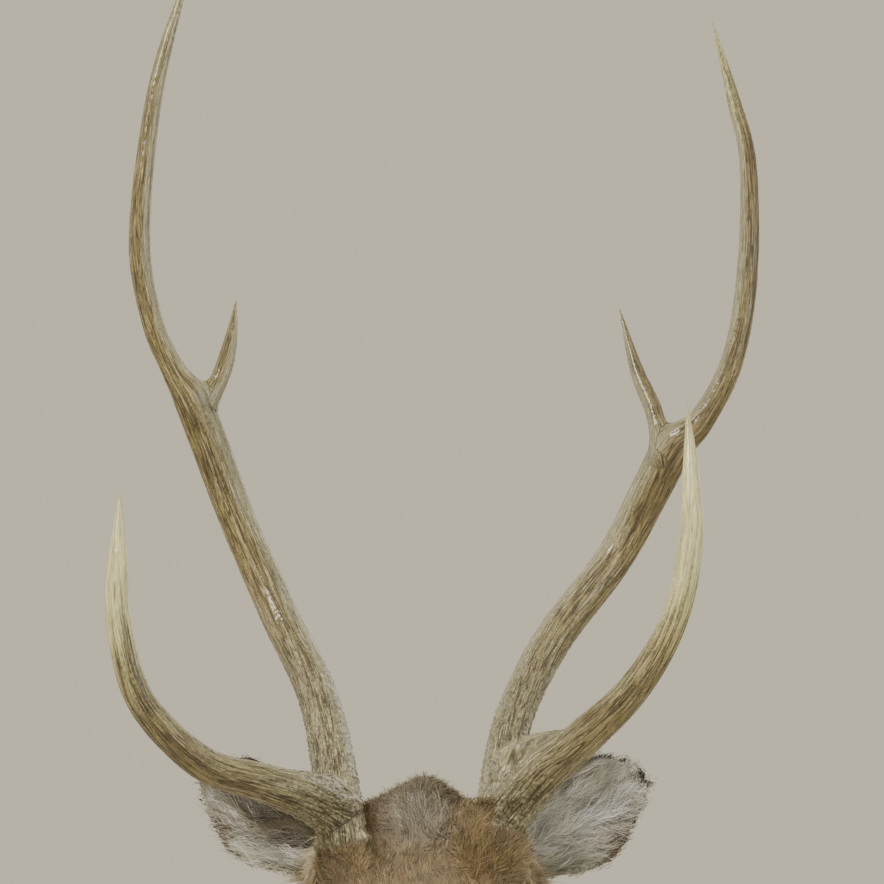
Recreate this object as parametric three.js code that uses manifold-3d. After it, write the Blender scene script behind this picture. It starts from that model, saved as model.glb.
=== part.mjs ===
// Axis deer (chital) stag, shoulder mount on its backboard.
// Millimetres, +Z up. The wall is the plane Y = 0, the animal looks along -Y, and its right side is at -X.
// The origin is the middle of the backboard's back face.
import * as THREE from 'three';
import { LoftGeometry } from 'three/addons/geometries/LoftGeometry.js';
import { mergeVertices } from 'three/addons/utils/BufferGeometryUtils.js';
import Module from 'manifold-3d';

const wasm = await Module();
wasm.setup();

// ---- Driving sizes ----------------------------------------------------------------------------------
const GAP = 0.3;                 // clearance between touching pieces
const WELD = 1e-4;               // corners nearer than this are one corner

const BOARD_THICK = 18;          // plywood behind the hide
const BOARD_INSET = 7;           // how far the board's edge stays inside the coat
const HANGER = { width: 96, height: 14, thick: 1.5, teeth: 12, recess: 3, room: 1, above: 168 };

const HEAD_PITCH = THREE.MathUtils.degToRad(35);  // how far the face points below the horizon
const NOSE_TIP = { y: -514, z: 323 };
const EYE_FROM_NOSE = 186;
const EYE_BELOW_BROW = 12;
const EYE_SPREAD = 94;           // between the centres of the two globes
const EYE_RADIUS = 17;
const LIDS = { radius: 20, out: 15 };  // the dish that the lids leave open, and how far out its centre lies

// Forms that stand up from the plain lofted body: where each is highest, which way and how far it
// stands out there, and how far it spreads. A paired one is on both sides.
const FORMS = [
    { name: 'crown', at: [0, -298, 520], push: [0, 0, 44], spread: [60, 30, 50], paired: false },
    { name: 'crown tuft', at: [-3, -298, 520], push: [0, 0, 14], spread: [27, 26, 50], paired: false },
    { name: 'shoulder point', at: [104, -196, -96], push: [10, -12, 0], spread: [62, 62, 74], paired: true },
    { name: 'upper foreleg', at: [122, -84, -206], push: [9, -3, -9], spread: [46, 60, 62], paired: true },
    { name: 'breast keel', at: [0, -250, -120], push: [0, -8, -4], spread: [34, 60, 90], paired: false },
    { name: 'cheek', at: [52, -285, 396], push: [3, 0, 0], spread: [30, 36, 34], paired: true },
];

const BODY_SIDES = 28;
const RINGS_PER_STATION = 2;
const ANTLER_SIDES = 10;
const BEAM_RINGS = { lower: 28, upper: 20 };
const TINE_RINGS = { inner: 12, brow: 20 };
const EYE_SIDES = 14;
const EYE_RINGS = 10;
const BURR = { swell: 5.5, at: 0.07, wide: 0.018 };  // the crown of pearls at the foot of each beam

// ---- Placing in the middle plane --------------------------------------------------------------------
function at(y, z) {
    return { y, z };
}

// In the head's own frame, `back` runs from the nose tip towards the occiput and `up` stands off the
// bridge of the nose.
function onHead(back, up) {
    const c = Math.cos(HEAD_PITCH);
    const s = Math.sin(HEAD_PITCH);
    return at(NOSE_TIP.y + back * c - up * s, NOSE_TIP.z + back * s + up * c);
}

// ---- Body stations ----------------------------------------------------------------------------------
// Each is one section from the wall to the nose: where it meets the back line and the belly line, its
// half width, how high its widest level lies (0 at the belly line, 1 at the back line), and how full it
// is above and below that level (2 is an ellipse, more is squarer).
const STATIONS = [
    { name: 'wall', top: at(-18.3, 232), low: at(-18.3, -272), half: 150, level: 0.4, full: [2.0, 2.6] },
    { name: 'withers', top: at(-31, 246), low: at(-98, -258), half: 159, level: 0.4, full: [2.0, 2.6] },
    { name: 'shoulder', top: at(-45, 262), low: at(-184, -210), half: 157, level: 0.4, full: [2.0, 2.4] },
    { name: 'brisket', top: at(-59, 278), low: at(-248, -132), half: 145, level: 0.43, full: [2.0, 2.1] },
    { name: 'chest', top: at(-73, 293), low: at(-276, -42), half: 128, level: 0.46, full: [2.0, 2.0] },
    { name: 'neck root', top: at(-88, 309), low: at(-276, 50), half: 107, level: 0.5, full: [2.0, 2.0] },
    { name: 'low neck', top: at(-106, 328), low: at(-264, 130), half: 91, level: 0.52, full: [2.0, 2.0] },
    { name: 'mid neck', top: at(-128, 352), low: at(-253, 196), half: 81, level: 0.53, full: [2.0, 2.0] },
    { name: 'high neck', top: at(-156, 383), low: at(-246, 250), half: 75, level: 0.55, full: [2.1, 2.0] },
    { name: 'throat', top: at(-192, 421), low: at(-243, 294), half: 71, level: 0.58, full: [2.2, 2.0] },
    { name: 'nape', top: at(-232, 468), low: at(-246, 330), half: 64, level: 0.64, full: [2.3, 2.0] },
    { name: 'occiput', top: onHead(286, 22), low: onHead(246, -130), half: 58, level: 0.7, full: [2.4, 1.9] },
    { name: 'poll', top: onHead(264, 29), low: onHead(238, -134), half: 58, level: 0.76, full: [2.6, 1.8] },
    { name: 'pedicles', top: onHead(240, 30), low: onHead(226, -134), half: 61, level: 0.79, full: [2.8, 1.7] },
    { name: 'brow', top: onHead(216, 27), low: onHead(212, -131), half: 63, level: 0.79, full: [2.7, 1.7] },
    { name: 'eyes', top: onHead(190, 20), low: onHead(194, -125), half: 63, level: 0.77, full: [2.5, 1.7] },
    { name: 'cheek', top: onHead(164, 12), low: onHead(168, -114), half: 53, level: 0.7, full: [2.3, 1.8] },
    { name: 'face', top: onHead(136, 6), low: onHead(138, -101), half: 42, level: 0.6, full: [2.2, 2.0] },
    { name: 'bridge', top: onHead(104, 3), low: onHead(105, -86), half: 33, level: 0.52, full: [2.2, 2.1] },
    { name: 'muzzle', top: onHead(70, 2), low: onHead(70, -75), half: 28, level: 0.5, full: [2.3, 2.2] },
    { name: 'lips', top: onHead(38, 2), low: onHead(38, -69), half: 28.5, level: 0.52, full: [2.4, 2.2] },
    { name: 'nostrils', top: onHead(15, -2), low: onHead(19, -62), half: 27, level: 0.6, full: [2.5, 2.1] },
    { name: 'nose', top: onHead(3, -10), low: onHead(6, -50), half: 20, level: 0.6, full: [2.5, 2.1] },
    { name: 'nose tip', top: onHead(0, -20), low: onHead(1, -38), half: 9, level: 0.6, full: [2.2, 2.0] },
];
const stationIndex = (name) => STATIONS.findIndex((station) => station.name === name);

// ---- Smooth curves through the stations -------------------------------------------------------------
const SHARE = 100;               // shares run through the curves this much larger, to weigh like millimetres

function curveThrough(points) {
    return new THREE.CatmullRomCurve3(points, false, 'centripetal');
}
const topLine = curveThrough(STATIONS.map((s) => new THREE.Vector3(0, s.top.y, s.top.z)));
const lowLine = curveThrough(STATIONS.map((s) => new THREE.Vector3(0, s.low.y, s.low.z)));
const breadth = curveThrough(STATIONS.map((s) => new THREE.Vector3(s.half, SHARE * s.level, 0)));
const fullness = curveThrough(STATIONS.map((s) => new THREE.Vector3(SHARE * s.full[0], SHARE * s.full[1], 0)));

function bump(distance, reach) {
    return Math.exp(-((distance / reach) ** 2));
}

// A point of the plain lofted surface, moved out by every form near it.
function raised(point) {
    const out = point.clone();
    for (const form of FORMS) {
        const side = form.paired && point.x < 0 ? -1 : 1;
        const [x, y, z] = form.at;
        const [wide, deep, tall] = form.spread;
        const share = bump(point.x - side * x, wide) * bump(point.y - y, deep) * bump(point.z - z, tall);
        out.x += share * side * form.push[0];
        out.y += share * form.push[1];
        out.z += share * form.push[2];
    }
    return out;
}

// One closed section at a place along the body, as seen from the nose end.
function bodySection(place, grow) {
    const t = place / (STATIONS.length - 1);
    const top = topLine.getPoint(t);
    const low = lowLine.getPoint(t);
    const size = breadth.getPoint(t);
    const full = fullness.getPoint(t);
    const rise = top.clone().sub(low);
    const growth = rise.clone().setLength(grow);
    const level = size.y / SHARE;
    const points = [];
    for (let i = 0; i < BODY_SIDES; i++) {
        const angle = (-i / BODY_SIDES) * 2 * Math.PI;
        const above = Math.cos(angle) >= 0;
        const power = (2 * SHARE) / (above ? full.x : full.y);
        const side = Math.sign(Math.sin(angle)) * Math.abs(Math.sin(angle)) ** power;
        const height = Math.sign(Math.cos(angle)) * Math.abs(Math.cos(angle)) ** power;
        const share = level + height * (above ? 1 - level : level);
        const point = low.clone().addScaledVector(rise, share).addScaledVector(growth, height);
        point.x = side * (size.x + grow);
        points.push(raised(point));
    }
    return points;
}

// A length of the body between two places, counted in stations, grown outwards by `grow`.
function bodyLength(from, to, grow = 0) {
    const count = Math.max(2, Math.round((to - from) * RINGS_PER_STATION));
    const sections = [];
    for (let i = 0; i <= count; i++) {
        sections.push(bodySection(from + ((to - from) * i) / count, grow));
    }
    return new LoftGeometry(sections, { capStart: true, capEnd: true });
}

// ---- Solids -----------------------------------------------------------------------------------------
function toSolid(geometry) {
    const plain = new THREE.BufferGeometry();
    plain.setAttribute('position', geometry.attributes.position);
    plain.setIndex(geometry.index);
    const merged = mergeVertices(plain, WELD);
    const vertProperties = new Float32Array(merged.attributes.position.array);
    const triVerts = new Uint32Array(merged.index.array);
    return new wasm.Manifold(new wasm.Mesh({ numProp: 3, vertProperties, triVerts }));
}

function toGeometry(solid) {
    const mesh = solid.getMesh();
    const geometry = new THREE.BufferGeometry();
    geometry.setAttribute('position', new THREE.BufferAttribute(mesh.vertProperties, 3));
    geometry.setIndex(new THREE.BufferAttribute(mesh.triVerts, 1));
    return geometry;
}

// Takes the tools away from a piece and keeps the largest body that is left.
function cut(geometry, ...tools) {
    let solid = toSolid(geometry);
    for (const tool of tools) solid = solid.subtract(toSolid(tool));
    const bodies = solid.decompose().sort((a, b) => b.volume() - a.volume());
    return toGeometry(bodies[0]);
}

// ---- Antlers ----------------------------------------------------------------------------------------
// A round tapering rod through points that each carry their own radius as [x, y, z, radius], or the
// length of it between two shares of its run.
function rod(points, { rings, from = 0, to = 1, grow = 0, extraRadius = () => 0 }) {
    const path = curveThrough(points.map((p) => new THREE.Vector3(p[0], p[1], p[2])));
    const radii = curveThrough(points.map((p) => new THREE.Vector3(p[3], 0, 0)));
    const sections = [];
    let side = new THREE.Vector3(1, 0, 0);
    for (let i = 0; i <= rings; i++) {
        const t = from + ((to - from) * i) / rings;
        const centre = path.getPoint(t);
        const forward = path.getTangent(t);
        side = side.clone().addScaledVector(forward, -side.dot(forward)).normalize();
        const other = new THREE.Vector3().crossVectors(forward, side);
        const radius = radii.getPoint(t).x + extraRadius(t) + grow;
        const section = [];
        for (let k = 0; k < ANTLER_SIDES; k++) {
            const angle = (k / ANTLER_SIDES) * 2 * Math.PI;
            const point = centre.clone();
            point.addScaledVector(side, radius * Math.cos(angle));
            point.addScaledVector(other, radius * Math.sin(angle));
            section.push(point);
        }
        sections.push(section);
    }
    return new LoftGeometry(sections, { capStart: true, capEnd: true });
}

// Right is the animal's right, at -X. The two sides differ as real antlers do.
const ANTLERS = {
    right: {
        beam: [
            [-51, -346, 470, 17], [-57, -336, 502, 17], [-60, -316, 528, 16.3], [-77, -236, 611, 14.7],
            [-108, -183, 682, 14.6], [-143, -172, 762, 14.2], [-165, -196, 819, 14.7], [-177, -213, 848, 14.6],
            [-190, -220, 867, 9.8], [-207, -228, 905, 8.5], [-217, -237, 966, 8.5], [-210, -241, 1061, 6.9],
            [-198, -243, 1125, 5.3], [-178, -246, 1193, 0.8],
        ],
        inner: [[-170, -209, 836, 11], [-156, -207, 865, 8], [-149, -201, 893, 5.8], [-145, -194, 932, 0.8]],
        brow: [
            [-62, -345, 505, 15.5], [-85, -376, 521, 15.4], [-111, -402, 526, 13.3], [-150, -436, 535, 11.7],
            [-188, -473, 571, 9.8], [-202, -490, 622, 8.6], [-203, -493, 660, 6.9], [-203, -489, 711, 0.9],
        ],
    },
    left: {
        beam: [
            [49, -346, 470, 17], [53, -336, 502, 17], [55, -320, 527, 16.3], [66, -254, 594, 14],
            [97, -196, 664, 14.6], [144, -172, 730, 14.5], [174, -188, 784, 15.5], [190, -207, 812, 15.5],
            [210, -215, 829, 10.4], [234, -224, 874, 8.9], [246, -234, 940, 8.4], [248, -239, 1025, 6.9],
            [238, -241, 1076, 5.4], [222, -245, 1141, 0.8],
        ],
        inner: [[181, -206, 802, 11], [176, -201, 838, 7.8], [163, -192, 876, 5.6], [151, -184, 927, 0.8]],
        brow: [
            [62, -345, 512, 15.5], [85, -376, 538, 15.4], [108, -403, 554, 13.6], [144, -446, 584, 11.2],
            [169, -476, 624, 9.5], [180, -490, 673, 8.6], [181, -490, 723, 5.8], [180, -484, 773, 0.8],
        ],
    },
};
const FORK = 7 / 13;             // the share of a beam's run where its inner tine leaves it
const FORK_CUT = 0.0012;         // half of the cut there, as a share of the run

function burrSwell(t) {
    return BURR.swell * bump(t - BURR.at, BURR.wide);
}

// ---- Ears -------------------------------------------------------------------------------------------
const EAR = {
    root: [58, -284, 493],
    tip: [166, -220, 554],
    half: 37,                    // half its width at the widest
    stem: 0.35,                  // the share of that width which starts at the root
    widest: 0.42,                // where along it the leaf is widest
    reach: 0.59,                 // how far from there the leaf runs out
    tipStarts: 0.6,              // where along it the rounded end begins
    tipFull: 2.4,                // how full that end is
    cup: 18,                     // how deep its inner face is
    flatter: 0.55,               // how much shallower that gets by the tip
    cupKept: 0.35,               // how deep it stays where the ear is narrow
    thick: 6,
    thinner: [0.5, 0.45],        // how much thinner it gets by its edges, and by the tip
    sag: 0.1,                    // how far its middle hangs below the straight line, in half widths
    corner: { up: 5.6, at: 0.84, wide: 0.17 },  // its upper corner, near the tip
};
const EAR_RINGS = 16;
const EAR_SPAN = 9;              // points across the inner face, and as many across the outer
const EAR_END = 2.5;             // half width where the leaf is closed at its tip

// A cupped leaf: half its width at a share of its length, narrow at the root and rounded at the tip.
function earHalfWidth(t) {
    const stem = Math.sqrt(0.5 - 0.5 * Math.cos(Math.PI * Math.min(1.25 * t, 1)));
    const leaf = Math.sqrt(Math.max(0, 1 - ((t - EAR.widest) / EAR.reach) ** 2));
    const end = Math.max(0, (t - EAR.tipStarts) / (1 - EAR.tipStarts));
    const width = EAR.half * (EAR.stem * stem + (1 - EAR.stem) * leaf) * Math.sqrt(1 - end ** EAR.tipFull);
    return Math.max(width, EAR_END);
}

function ear(side) {
    const root = new THREE.Vector3(side * EAR.root[0], EAR.root[1], EAR.root[2]);
    const tip = new THREE.Vector3(side * EAR.tip[0], EAR.tip[1], EAR.tip[2]);
    const axis = tip.clone().sub(root).normalize();
    const open = new THREE.Vector3(side * 0.25, -1, -0.05);
    open.addScaledVector(axis, -open.dot(axis)).normalize();
    const upper = new THREE.Vector3().crossVectors(open, axis).multiplyScalar(side).normalize();
    const sections = [];
    for (let i = 0; i <= EAR_RINGS; i++) {
        const t = i / EAR_RINGS;
        const half = earHalfWidth(t);
        const cup = EAR.cup * (1 - EAR.flatter * t) * Math.min(1, half / EAR.half + EAR.cupKept);
        const corner = EAR.corner.up * bump(t - EAR.corner.at, EAR.corner.wide);
        const lift = corner - EAR.sag * half * Math.sin(Math.PI * t);
        const centre = root.clone().lerp(tip, t).addScaledVector(upper, lift);
        const inner = [];
        const outer = [];
        for (let k = 0; k < EAR_SPAN; k++) {
            const across = -1 + (2 * k) / (EAR_SPAN - 1);
            const depth = cup * (1 - across * across);
            const thick = EAR.thick * (1 - EAR.thinner[0] * across * across) * (1 - EAR.thinner[1] * t);
            const face = centre.clone().addScaledVector(upper, across * half);
            inner.push(face.clone().addScaledVector(open, -depth));
            outer.push(face.clone().addScaledVector(open, -depth - thick));
        }
        const section = inner.concat(outer.reverse());
        sections.push(side > 0 ? section.reverse() : section);
    }
    return new LoftGeometry(sections, { capStart: true, capEnd: true });
}

// ---- Eyes -------------------------------------------------------------------------------------------
function eye(side, grow = 0) {
    const spot = onHead(EYE_FROM_NOSE, -EYE_BELOW_BROW);
    const globe = new THREE.SphereGeometry(EYE_RADIUS + grow, EYE_SIDES, EYE_RINGS);
    globe.translate((side * EYE_SPREAD) / 2, spot.y, spot.z);
    return globe;
}

// The shallow dish around each globe where the lids open.
function lidDish(side) {
    const spot = onHead(EYE_FROM_NOSE, -EYE_BELOW_BROW);
    const dish = new THREE.SphereGeometry(LIDS.radius, EYE_SIDES, EYE_RINGS);
    dish.translate(side * (EYE_SPREAD / 2 + LIDS.out), spot.y, spot.z);
    return dish;
}

// ---- Board and hanger -------------------------------------------------------------------------------
function backboard() {
    const outline = bodySection(0, -BOARD_INSET).map((point) => new THREE.Vector2(point.x, point.z));
    const shape = new THREE.Shape(outline);
    const board = new THREE.ExtrudeGeometry(shape, { depth: BOARD_THICK, bevelEnabled: false });
    board.rotateX(Math.PI / 2);
    const room = 2 * HANGER.room;
    const recess = new THREE.BoxGeometry(HANGER.width + room, 2 * HANGER.recess, HANGER.height + room);
    recess.translate(0, 0, HANGER.above);
    return cut(board, recess);
}

// A saw-tooth strip let into the top of the board, its teeth hanging down.
function hanger() {
    const pitch = HANGER.width / HANGER.teeth;
    const shape = new THREE.Shape();
    shape.moveTo(-HANGER.width / 2, HANGER.height / 2);
    for (let i = 0; i < HANGER.teeth; i++) {
        const x = -HANGER.width / 2 + i * pitch;
        shape.lineTo(x, -HANGER.height / 4);
        shape.lineTo(x + pitch / 2, -HANGER.height / 2);
    }
    shape.lineTo(HANGER.width / 2, -HANGER.height / 4);
    shape.lineTo(HANGER.width / 2, HANGER.height / 2);
    const strip = new THREE.ExtrudeGeometry(shape, { depth: HANGER.thick, bevelEnabled: false });
    strip.rotateX(Math.PI / 2);
    strip.translate(0, -(HANGER.recess - HANGER.thick - GAP), HANGER.above);
    return strip;
}

// ---- Finishes ---------------------------------------------------------------------------------------
const COAT = new THREE.MeshStandardMaterial({ color: 0xa9825a, roughness: 0.95 });
const EAR_COAT = new THREE.MeshStandardMaterial({ color: 0xbfb29a, roughness: 0.95 });
const ANTLER = new THREE.MeshStandardMaterial({ color: 0x8a734a, roughness: 0.6 });
const TINE = new THREE.MeshStandardMaterial({ color: 0xa8905c, roughness: 0.45 });
const NOSE_LEATHER = new THREE.MeshStandardMaterial({ color: 0x1d1a18, roughness: 0.5 });
const EYE_GLASS = new THREE.MeshStandardMaterial({ color: 0x14100c, roughness: 0.05 });
const PLYWOOD = new THREE.MeshStandardMaterial({ color: 0xc9a676, roughness: 0.8 });
const STEEL = new THREE.MeshStandardMaterial({ color: 0xb8b49a, roughness: 0.35, metalness: 1 });

// ---- Assembly ---------------------------------------------------------------------------------------
const group = new THREE.Group();

function add(name, geometry, material) {
    const mesh = new THREE.Mesh(geometry, material);
    mesh.name = name;
    group.add(mesh);
}

const NECK_CUT = stationIndex('neck root');
const HEAD_CUT = stationIndex('nape') + 0.5;
const NOSE_CUT = stationIndex('nostrils') - 0.35;
const SEAM = 0.012;              // half of the cut between two lengths of the body, in stations
const LAST = STATIONS.length - 1;
const shoulders = bodyLength(0, NECK_CUT - SEAM);
const neck = bodyLength(NECK_CUT + SEAM, HEAD_CUT - SEAM);
const head = bodyLength(HEAD_CUT + SEAM, NOSE_CUT - SEAM);
const nose = bodyLength(NOSE_CUT + SEAM, LAST);
const grownHead = bodyLength(HEAD_CUT - 1, LAST, GAP);

add('board', backboard(), PLYWOOD);
add('hanger', hanger(), STEEL);
add('shoulders', shoulders, COAT);
add('neck', neck, COAT);
add('nose', nose, NOSE_LEATHER);
add('head', cut(head, eye(-1, GAP), lidDish(-1), eye(1, GAP), lidDish(1)), COAT);

for (const [name, side] of [['right', -1], ['left', 1]]) {
    const { beam, inner, brow } = ANTLERS[name];
    const foot = { rings: BEAM_RINGS.lower, to: FORK - FORK_CUT, extraRadius: burrSwell };
    const lower = (grow) => rod(beam, { ...foot, grow });
    const upper = (grow) => rod(beam, { rings: BEAM_RINGS.upper, from: FORK + FORK_CUT, grow });
    const innerTine = rod(inner, { rings: TINE_RINGS.inner });
    const browTine = rod(brow, { rings: TINE_RINGS.brow });
    add(`eye_${name}`, eye(side), EYE_GLASS);
    add(`ear_${name}`, cut(ear(side), grownHead), EAR_COAT);
    add(`antler_${name}_beam`, cut(lower(0), grownHead), ANTLER);
    add(`antler_${name}_upper_beam`, upper(0), ANTLER);
    add(`antler_${name}_inner_tine`, cut(innerTine, lower(GAP), upper(GAP)), TINE);
    add(`antler_${name}_brow_tine`, cut(browTine, lower(GAP), grownHead), TINE);
}

export default group;
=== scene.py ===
"""An axis deer stag's shoulder mount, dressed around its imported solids.

One skin covers the foam form, a coat of real hair blades grows on it, and the antlers, glass eyes,
backboard and hanger keep their own pieces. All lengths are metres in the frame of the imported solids.
"""

import logging
import math
from dataclasses import dataclass, field, replace
from enum import Enum
from typing import Callable, Sequence

import bmesh
import bpy
import numpy as np
from mathutils import Matrix, Vector, noise
from mathutils.bvhtree import BVHTree


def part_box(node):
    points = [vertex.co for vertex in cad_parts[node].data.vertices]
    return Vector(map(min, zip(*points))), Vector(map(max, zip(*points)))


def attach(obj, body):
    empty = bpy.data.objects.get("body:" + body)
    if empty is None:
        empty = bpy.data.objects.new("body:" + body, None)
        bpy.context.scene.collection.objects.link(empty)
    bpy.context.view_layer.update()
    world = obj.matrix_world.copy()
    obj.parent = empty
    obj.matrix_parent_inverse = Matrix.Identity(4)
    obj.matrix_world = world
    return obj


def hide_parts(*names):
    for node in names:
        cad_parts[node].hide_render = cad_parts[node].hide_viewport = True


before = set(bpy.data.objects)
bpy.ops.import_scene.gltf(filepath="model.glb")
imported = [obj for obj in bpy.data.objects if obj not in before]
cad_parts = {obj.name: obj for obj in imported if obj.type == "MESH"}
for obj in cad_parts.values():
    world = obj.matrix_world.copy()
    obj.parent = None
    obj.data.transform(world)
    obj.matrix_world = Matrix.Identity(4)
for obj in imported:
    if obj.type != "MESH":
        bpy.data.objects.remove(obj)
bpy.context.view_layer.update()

BODY = "root"
LOG = logging.getLogger("mount")

Array = np.ndarray
Mesh = bpy.types.Mesh
Piece = bpy.types.Object
Material = bpy.types.Material
Socket = bpy.types.NodeSocket
Colour = tuple[float, float, float]
Layer = tuple[Colour, Array]


# ---- Small helpers ----
class Side(Enum):
    """The animal's two sides, as the sign of X."""

    RIGHT = -1
    LEFT = 1

    @property
    def label(self) -> str:
        """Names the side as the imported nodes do."""
        return self.name.lower()

    def holds(self, places: Array) -> Array:
        """Tells which places lie on this side."""
        return (places[:, 0] > 0) == (self is Side.LEFT)


def srgb(red: int, green: int, blue: int) -> Colour:
    """Turns a screen colour, 0 to 255 each, into the linear light that shaders use."""
    return tuple(((part / 255 + 0.055) / 1.055) ** 2.4 for part in (red, green, blue))


def ramp(low: float, high: float, value: Array) -> Array:
    """Eases from 0 where value is low to 1 where it is high; low may lie above high."""
    share = np.clip((value - low) / (high - low), 0.0, 1.0)
    return share * share * (3.0 - 2.0 * share)


def bell(distance: Array, reach: float) -> Array:
    """Falls off smoothly from 1 at no distance, past its reach to nearly 0."""
    return np.exp(-((distance / reach) ** 2))


def blend(base: Array, colour: Colour, share: Array) -> Array:
    """Mixes one colour into a list of colours, each row taking its own share of it."""
    weight = np.clip(share, 0.0, 1.0)[:, None]
    return base * (1.0 - weight) + np.array(colour)[None, :] * weight


def unit(vectors: Array) -> Array:
    """Scales each row to a length of 1."""
    return vectors / np.maximum(np.linalg.norm(vectors, axis=1, keepdims=True), 1e-12)


def cloud(points: Array, scale: float, octaves: int = 2) -> Array:
    """Reads smooth noise from about -1 to 1 at each point, with scale lumps in a metre."""
    scaled = points * scale
    return np.array([noise.fractal(row, 1.0, 2.0, octaves) for row in scaled.tolist()])


def piece_from(name: str, mesh: Mesh, smooth: bool = True) -> Piece:
    """Puts a mesh into the scene as a piece at the origin.

    Args:
        name: The piece's name.
        mesh: Its mesh, already in place.
        smooth: Whether its faces are shaded smoothly.

    Returns:
        The new object.
    """
    mesh.name = name
    mesh.polygons.foreach_set("use_smooth", [smooth] * len(mesh.polygons))
    piece = bpy.data.objects.new(name, mesh)
    bpy.context.scene.collection.objects.link(piece)
    return piece


def mesh_from(form: bmesh.types.BMesh, name: str) -> Mesh:
    """Turns a bmesh into a mesh and frees it."""
    mesh = bpy.data.meshes.new(name)
    form.to_mesh(mesh)
    form.free()
    return mesh


def absorb(form: bmesh.types.BMesh, mesh: Mesh) -> None:
    """Takes a mesh into a bmesh and deletes it."""
    form.from_mesh(mesh)
    bpy.data.meshes.remove(mesh)


def coords(mesh: Mesh) -> Array:
    """Reads a mesh's vertex places, one row each."""
    flat = np.empty(len(mesh.vertices) * 3)
    mesh.vertices.foreach_get("co", flat)
    return flat.reshape(-1, 3)


def set_coords(mesh: Mesh, places: Array) -> None:
    """Moves a mesh's vertices to new places, one row each."""
    mesh.vertices.foreach_set("co", places.ravel())
    mesh.update()


def normals(mesh: Mesh) -> Array:
    """Reads a mesh's vertex normals, one row each."""
    flat = np.empty(len(mesh.vertices) * 3, dtype=np.float32)
    mesh.vertex_normals.foreach_get("vector", flat)
    return flat.reshape(-1, 3).astype(float)


def modified(piece: Piece, kind: str, **settings: object) -> None:
    """Applies one modifier to a piece's mesh.

    Args:
        piece: The object whose mesh changes.
        kind: The modifier's type.
        **settings: The modifier's settings.
    """
    modifier = piece.modifiers.new(kind, kind)
    for key, value in settings.items():
        setattr(modifier, key, value)
    graph = bpy.context.evaluated_depsgraph_get()
    finished = bpy.data.meshes.new_from_object(piece.evaluated_get(graph))
    piece.modifiers.clear()
    piece.data = finished


def relaxed(mesh: Mesh, rounds: int, share: Array | float = 1.0) -> None:
    """Smooths a mesh by moving each vertex towards the middle of its neighbours.

    Args:
        mesh: The mesh to smooth.
        rounds: How many times every vertex moves.
        share: How much of each move is kept, one number or one for each vertex.
    """
    edges = np.empty(len(mesh.edges) * 2, dtype=np.int64)
    mesh.edges.foreach_get("vertices", edges)
    first, second = edges.reshape(-1, 2).T
    count = len(mesh.vertices)
    degree = np.bincount(first, minlength=count) + np.bincount(second, minlength=count)
    places = coords(mesh)
    weight = np.broadcast_to(np.asarray(share, dtype=float), (count,))[:, None] * 0.5
    for _ in range(rounds):
        total = np.empty_like(places)
        for axis in range(3):
            total[:, axis] = np.bincount(first, places[second, axis], count)
            total[:, axis] += np.bincount(second, places[first, axis], count)
        places += weight * (total / np.maximum(degree, 1)[:, None] - places)
    set_coords(mesh, places)


def refined(mesh: Mesh, chosen: Array) -> None:
    """Divides the faces whose vertices are all chosen into four.

    Args:
        mesh: The mesh to refine.
        chosen: For each vertex, whether it lies in the refined region.
    """
    form = bmesh.new()
    form.from_mesh(mesh)
    form.verts.ensure_lookup_table()
    faces = [face for face in form.faces if all(chosen[vertex.index] for vertex in face.verts)]
    edges = list({edge for face in faces for edge in face.edges})
    bmesh.ops.subdivide_edges(form, edges=edges, cuts=1, use_grid_fill=True, smooth=0.0)
    form.to_mesh(mesh)
    form.free()


def floats(mesh: Mesh, name: str, values: Array) -> None:
    """Stores one number for each vertex under a name that materials can read."""
    layer = mesh.attributes.new(name, "FLOAT", "POINT")
    layer.data.foreach_set("value", values.astype(np.float32))


def vectors(mesh: Mesh, name: str, values: Array) -> None:
    """Stores one vector for each vertex under a name that materials can read."""
    layer = mesh.attributes.new(name, "FLOAT_VECTOR", "POINT")
    layer.data.foreach_set("vector", values.astype(np.float32).ravel())


def colours(mesh: Mesh, name: str, values: Array) -> None:
    """Stores one colour for each vertex under a name that materials can read."""
    layer = mesh.attributes.new(name, "FLOAT_COLOR", "POINT")
    opaque = np.hstack([values, np.ones((len(values), 1))])
    layer.data.foreach_set("color", opaque.astype(np.float32).ravel())


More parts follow.
